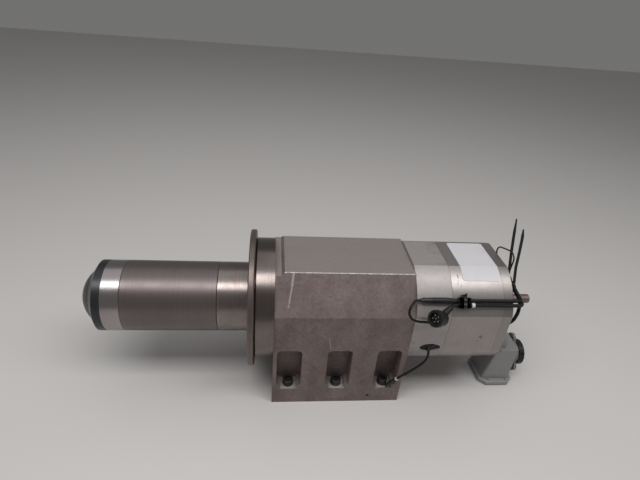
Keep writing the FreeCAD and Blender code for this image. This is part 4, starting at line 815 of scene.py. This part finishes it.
@dataclass
class FreeLead:
    """The thin lead that hangs from the lower port down to the third bolt pocket."""

    diameter: float = 0.004
    points: tuple[Point, ...] = ()

    def build(self) -> bpy.types.Object:
        """Make the lead as a NURBS curve along its route.

        Returns:
            The lead's object.
        """
        data = bpy.data.curves.new("free_lead_jacket", "CURVE")
        data.dimensions = "3D"
        data.bevel_depth = self.diameter / 2
        data.bevel_resolution = 6
        data.resolution_u = 12
        data.use_fill_caps = True
        spline = data.splines.new("NURBS")
        spline.points.add(len(self.points) - 1)
        for point, spot in zip(spline.points, self.points):
            point.co = (*spot, 1.0)
        spline.order_u = 3
        spline.use_endpoint_u = True
        data.materials.append(SHELF.take("lead_black"))
        obj = bpy.data.objects.new("free_lead_jacket", data)
        bpy.context.scene.collection.objects.link(obj)
        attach(obj, "root")
        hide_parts("free_lead")
        return obj


def free_lead_route() -> tuple[Point, ...]:
    """The free lead's route, as the CAD source has it.

    Returns:
        The points in metres.
    """
    motor = MOTOR_FRONT
    face = Vector((motor + 0.036, -0.093, 0.131))
    way = Vector((-0.12, -0.78, -0.6)).normalized()
    start = face + Vector((-0.0005, 0, -0.003)) + way * 0.005
    end = Vector((motor - 0.0125, -0.102, 0.061))
    tip = Vector((motor - 0.0245, -0.0955, PAD_TOP + 0.003))
    plug_way = (tip - end).normalized()
    route = [start, start + way * 0.009, Vector((motor + 0.0285, -0.1065, 0.107)),
             Vector((motor + 0.0175, -0.1055, 0.093)), Vector((motor + 0.0065, -0.104, 0.0805)),
             Vector((motor - 0.004, -0.103, 0.071)), end - plug_way * 0.006, end]
    return tuple(tuple(spot) for spot in route)


class PatternSheet(Sheet):
    """A Geometry Nodes tree that repeats a piece, with named inputs."""

    def __init__(self, name: str, inputs: dict[str, str]) -> None:
        """Start a tree.

        Args:
            name: the tree's name.
            inputs: its named inputs, each with the kind of its socket.
        """
        self.tree = bpy.data.node_groups.new(name, "GeometryNodeTree")
        self.tree.interface.new_socket("Geometry", in_out="OUTPUT", socket_type="NodeSocketGeometry")
        self.sockets: dict[str, str] = {}
        for key, kind in {"Geometry": "Geometry", **inputs, "Material": "Material"}.items():
            socket = self.tree.interface.new_socket(key, in_out="INPUT", socket_type=f"NodeSocket{kind}")
            self.sockets[key] = socket.identifier
        self.source = self.add("NodeGroupInput")

    def given(self, name: str) -> Socket:
        """A named input of the tree."""
        return self.source, name

    def close(self, points: Socket, piece: Socket, turn: Socket) -> None:
        """Set copies on points, and end the tree in Realize Instances and Set Material.

        Args:
            points: the points.
            piece: what is copied.
            turn: the rotation of each copy.
        """
        copies = self.add("GeometryNodeInstanceOnPoints", {"Points": points, "Instance": piece,
                                                           "Rotation": turn})
        real = self.add("GeometryNodeRealizeInstances", {"Geometry": (copies, "Instances")})
        finish = self.add("GeometryNodeSetMaterial", {"Geometry": (real, "Geometry"),
                                                      "Material": self.given("Material")})
        self.add("NodeGroupOutput", {"Geometry": (finish, "Geometry")})

    def apply(self, name: str, mesh: bpy.types.Mesh, finish: str, body: str, slot: str | None = None,
              **values: object) -> bpy.types.Object:
        """Run the tree on a mesh and keep the result as a plain piece.

        Args:
            name: the piece's name.
            mesh: the mesh that the tree repeats or follows.
            finish: a key of FINISHES.
            body: the CAD body that carries it.
            slot: the record's material slot, if it isn't the finish's own name; not used.
            values: the named inputs.

        Returns:
            The finished piece.
        """
        holder = bpy.data.objects.new(name, mesh)
        bpy.context.scene.collection.objects.link(holder)
        modifier = holder.modifiers.new("pattern", "NODES")
        modifier.node_group = self.tree
        for key, value in {**values, "Material": SHELF.take(finish)}.items():
            modifier[self.sockets[key]] = value
        holder.update_tag()
        seen = holder.evaluated_get(bpy.context.evaluated_depsgraph_get())
        plain = bpy.data.meshes.new_from_object(seen)
        bpy.data.objects.remove(holder)
        return piece_from(name, plain, finish, body)


class RingPattern(PatternSheet):
    """Repeats a piece round a line along X."""

    def __init__(self) -> None:
        """Build the tree."""
        super().__init__("RingPattern", {"Count": "Int", "Centre": "Vector", "Turn": "Float"})
        points = self.add("GeometryNodePoints", {"Count": self.given("Count"),
                                                 "Position": self.given("Centre")})
        step = self.math("DIVIDE", math.tau, self.given("Count"))
        angle = self.math("MULTIPLY", (self.add("GeometryNodeInputIndex"), 0), step)
        turn = self.add("ShaderNodeCombineXYZ", {"X": self.math("ADD", angle, self.given("Turn"))})
        self.close((points, "Points"), self.given("Geometry"), (turn, "Vector"))


class RowPattern(PatternSheet):
    """Repeats a piece in rows along X and Y, each copy turned a little at random."""

    def __init__(self) -> None:
        """Build the tree."""
        super().__init__("RowPattern", {"Columns": "Int", "Rows": "Int", "Step": "Vector",
                                        "Corner": "Vector", "Tilt": "Vector", "Seed": "Int"})
        index = (self.add("GeometryNodeInputIndex"), 0)
        column = self.math("MODULO", index, self.given("Columns"))
        row = self.math("FLOOR", self.math("DIVIDE", index, self.given("Columns")))
        cell = self.add("ShaderNodeCombineXYZ", {"X": column, "Y": row})
        place = self.vectors("MULTIPLY_ADD", {0: (cell, "Vector"), 1: self.given("Step"),
                                              2: self.given("Corner")})
        count = self.math("MULTIPLY", self.given("Columns"), self.given("Rows"))
        points = self.add("GeometryNodePoints", {"Count": count, "Position": place})
        low = self.vectors("SCALE", {0: self.given("Tilt"), "Scale": -1.0})
        turn = self.add("FunctionNodeRandomValue", {0: low, 1: self.given("Tilt"),
                                                    "Seed": self.given("Seed")}, data_type="FLOAT_VECTOR")
        self.close((points, "Points"), self.given("Geometry"), (turn, 0))


class RibPattern(PatternSheet):
    """Sets small ribs at even steps along a path in an upright cross plane."""

    def __init__(self) -> None:
        """Build the tree."""
        super().__init__("RibPattern", {"Pitch": "Float", "Size": "Vector"})
        path = self.add("GeometryNodeMeshToCurve", {"Mesh": self.given("Geometry")})
        spots = self.add("GeometryNodeResampleCurve", {"Curve": (path, "Curve"),
                                                       "Length": self.given("Pitch")}, mode="LENGTH")
        rib = self.add("GeometryNodeMeshCube", {"Size": self.given("Size")})
        tangent = (self.add("GeometryNodeInputTangent"), 0)
        turn = self.add("FunctionNodeAlignEulerToVector", {"Vector": tangent}, axis="Z", pivot_axis="X")
        self.close((spots, "Curve"), (rib, "Mesh"), (turn, "Rotation"))


def screw_head(radius: float, height: float, key: float, way: Point,
               place: Point = (0, 0, 0)) -> bpy.types.Mesh:
    """A socket screw's head with a softened rim and a hexagon recess.

    Args:
        radius: the head's radius.
        height: its height above the seat.
        key: the recess's radius over its corners.
        way: the direction in which the head points.
        place: the middle of its seat.

    Returns:
        The head's mesh.
    """
    shape = bmesh.new()
    sides, soft = 24, radius * 0.14
    angles = [math.tau * i / sides for i in range(sides)]
    round_rims = [([reach] * sides, level) for reach, level in
                  ((radius, 0.0), (radius, height - soft), (radius - soft, height))]
    flats = [(angle + math.pi / 6) % (math.pi / 3) - math.pi / 6 for angle in angles]
    hexagon = [key * math.cos(math.pi / 6) / math.cos(side) for side in flats]
    rings = [[shape.verts.new((reach * math.cos(angle), reach * math.sin(angle), level))
              for reach, angle in zip(reaches, angles)]
             for reaches, level in (*round_rims, (hexagon, height), (hexagon, height * 0.45))]
    skin_rings(shape, rings)
    shape.faces.new(rings[-1])
    shape.faces.new(rings[0][::-1])
    turn = Vector(way).to_track_quat("Z", "Y").to_matrix().to_4x4()
    bmesh.ops.transform(shape, matrix=Matrix.Translation(Vector(place)) @ turn, verts=shape.verts)
    return mesh_of(shape, "screw_head")


@dataclass
class SpringStack:
    """The disc springs, which shorten as the drawbar pushes their nut."""

    fixed_end: float = -0.2755
    free_end: float = -0.1955
    stroke: float = 0.006

    def build(self) -> None:
        """Make the stack from a copy of its CAD discs."""
        mesh = FRAME["nodes"]["disc_springs"].data.copy()
        mesh.materials.clear()
        stack = piece_from("spring_stack", mesh, "spring_steel", "spindle")
        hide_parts("disc_springs")
        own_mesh(stack)


@dataclass
class RearHardware:
    """Small screws and ribs on the rear cylinder, the box lid and the cable gland."""

    cylinder_face: float = 0.3155
    screw_circle: float = 0.0315
    rib_centre: Point = (0.281, -0.017, 0.233)
    grommet_radius: float = 0.013
    lid_margin: float = 0.0165
    lid_inset: float = 0.0045
    sink: float = 0.0002

    def build(self, ring: RingPattern, rows: RowPattern) -> None:
        """Make the pieces.

        Args:
            ring: the tree that repeats round the axis.
            rows: the tree that repeats in rows.
        """
        head = screw_head(radius=0.0029, height=0.0022, key=0.0014, way=(1, 0, 0),
                          place=(0, 0, self.screw_circle))
        ring.apply("cylinder_screws", head, "black_steel", "root", Count=6, Turn=math.radians(30),
                   Centre=(self.cylinder_face, 0.0, AXIS_HEIGHT))
        rib = screw_head(radius=0.0012, height=0.0008, key=0.0005, way=(0, 0, 1),
                         place=(0.0, 0.0, self.grommet_radius - self.sink))
        ring.apply("gland_ribs", rib, "seal", "root", Count=20, Turn=0.0, Centre=self.rib_centre)
        low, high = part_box("box_lid")
        lid_head = screw_head(radius=0.0023, height=0.0012, key=0.0011, way=(0, 0, 1))
        step = (high.x - low.x - 2 * self.lid_margin, high.y - low.y - 2 * self.lid_inset, 0.0)
        rows.apply("lid_screws", lid_head, "connector_metal", "root", Columns=2, Rows=2, Step=step, Seed=4,
                   Corner=(low.x + self.lid_margin, low.y + self.lid_inset, high.z - self.sink),
                   Tilt=(0.0, 0.0, 1.5))


@dataclass
class LeadBundle:
    """The turns of tape round the two leads, and the teeth of the ties' tails."""

    upper: tuple[float, float] = (-0.08846, 0.22603)
    lower: tuple[float, float] = (-0.09259, 0.21989)
    start_x: float = 0.1822
    turns: int = 11
    turn_step: float = 0.0018
    wrap_radius: float = 0.00505
    tape_profile: tuple[tuple[float, float], ...] = (
        (-0.0010, 0.0), (-0.0007, 0.00012), (0.0008, 0.00004), (0.0010, -0.0001))
    tape_thickness: float = 0.00012
    half_turn_steps: int = 12
    tail_half: float = 0.00068
    tooth_margin: float = 0.0008
    tails: tuple[tuple[float, tuple[tuple[float, float], ...]], ...] = (
        (0.288, ((-0.031, 0.248), (-0.020, 0.277), (-0.010, 0.308), (-0.003, 0.333))),
        (0.291, ((-0.048, 0.244), (-0.0415, 0.261), (-0.0365, 0.288), (-0.031, 0.312), (-0.026, 0.326))))

    def middle(self) -> tuple[float, float]:
        """The point half way between the two leads."""
        return (self.upper[0] + self.lower[0]) / 2, (self.upper[1] + self.lower[1]) / 2

    def turn_mesh(self) -> bpy.types.Mesh:
        """One turn of tape, a thin band round both leads about their middle.

        Returns:
            The turn's mesh.
        """
        y, z = self.middle()
        half = Vector((0, self.upper[0] - y, self.upper[1] - z))
        way = half.normalized()
        side = Vector((1, 0, 0)).cross(way)
        shape = bmesh.new()
        rings = []
        for x, lift in self.tape_profile:
            ring = []
            for end, first in ((half, 0.0), (-half, math.pi)):
                for i in range(self.half_turn_steps + 1):
                    angle = first + math.pi * i / self.half_turn_steps
                    reach = side * math.cos(angle) + way * math.sin(angle)
                    ring.append(shape.verts.new(Vector((x, 0, 0)) + end + reach * (self.wrap_radius + lift)))
            rings.append(ring)
        skin_rings(shape, rings)
        bmesh.ops.solidify(shape, geom=shape.faces[:], thickness=self.tape_thickness)
        return mesh_of(shape, "tape_turn")

    def tail_mesh(self) -> bpy.types.Mesh:
        """The lines on the tails' flat sides along which their teeth run.

        Returns:
            A mesh of edges.
        """
        mesh = bpy.data.meshes.new("tail_lines")
        spots, edges = [], []
        for x, points in self.tails:
            line = [Vector((x, y, z)) for y, z in points]
            for one, other in zip(line[:-1], line[1:]):
                way = (other - one).normalized()
                lift = way.cross(Vector((1, 0, 0))) * self.tail_half
                edges.append((len(spots), len(spots) + 1))
                spots += [one + lift + way * self.tooth_margin, other + lift - way * self.tooth_margin]
        mesh.from_pydata(spots, edges, [])
        return mesh

    def build(self, rows: RowPattern, ribs: RibPattern) -> None:
        """Make the pieces.

        Args:
            rows: the tree that repeats in rows.
            ribs: the tree that sets ribs along a path.
        """
        rows.apply("tape_turns", self.turn_mesh(), "tape_black", "root", Columns=self.turns, Rows=1,
                   Step=(self.turn_step, 0.0, 0.0), Corner=(self.start_x, *self.middle()),
                   Tilt=(0.01, 0.05, 0.05), Seed=11)
        ribs.apply("tie_teeth", self.tail_mesh(), "insert_black", "root", Pitch=0.0014,
                   Size=(0.0024, 0.00045, 0.0006))


def main() -> None:
    """Build the studio, dress the CAD and add the pieces."""
    logging.basicConfig(level=logging.INFO)
    photographer = Photographer()
    photographer.set_camera()
    photographer.set_floor()
    photographer.set_lamps()
    dresser = CadDresser()
    dresser.dress()
    dresser.second_finish("spindle_housing", "machined_top",
                          lambda face: face.normal.z > UPWARD and face.center.z > HOUSING_TOP_FROM)
    dresser.second_finish("spindle_housing", "machined_pad",
                          lambda face: face.normal.z > LEVEL and abs(face.center.z - PAD_TOP) < PAD_REACH)
    dresser.second_finish("lead_sleeves", "sleeve_white", lambda face: face.center.x > WHITE_SLEEVE_FROM)
    dresser.second_finish("rear_fitting", "fitting_rim", lambda face: face.center.x > FITTING_RIM_FROM)
    dresser.second_finish("free_lead_tie", "sleeve_white", lambda face: face.center.x < WHITE_TIE_TO)
    # The front collar's darker steel is painted shade for the disc's shadow.
    for node, finish in (("motor_end_plate", "motor_turned"), ("motor_adapter", "motor_dull"),
                         ("front_collar", "collar_steel_painted_shade")):
        dresser.second_finish(node, finish, lambda face: True)
    SpringStack().build()
    insert = large_islands(FRAME["nodes"]["round_connector_pins"].data, INSERT_SIDE)
    dresser.second_finish("round_connector_pins", "insert_black", lambda face: face.index in insert)
    FreeLead(points=free_lead_route()).build()
    MotorLabel().build()
    ring, rows, ribs = RingPattern(), RowPattern(), RibPattern()
    RearHardware().build(ring, rows)
    LeadBundle().build(rows, ribs)


if __name__ == "__main__":
    main()
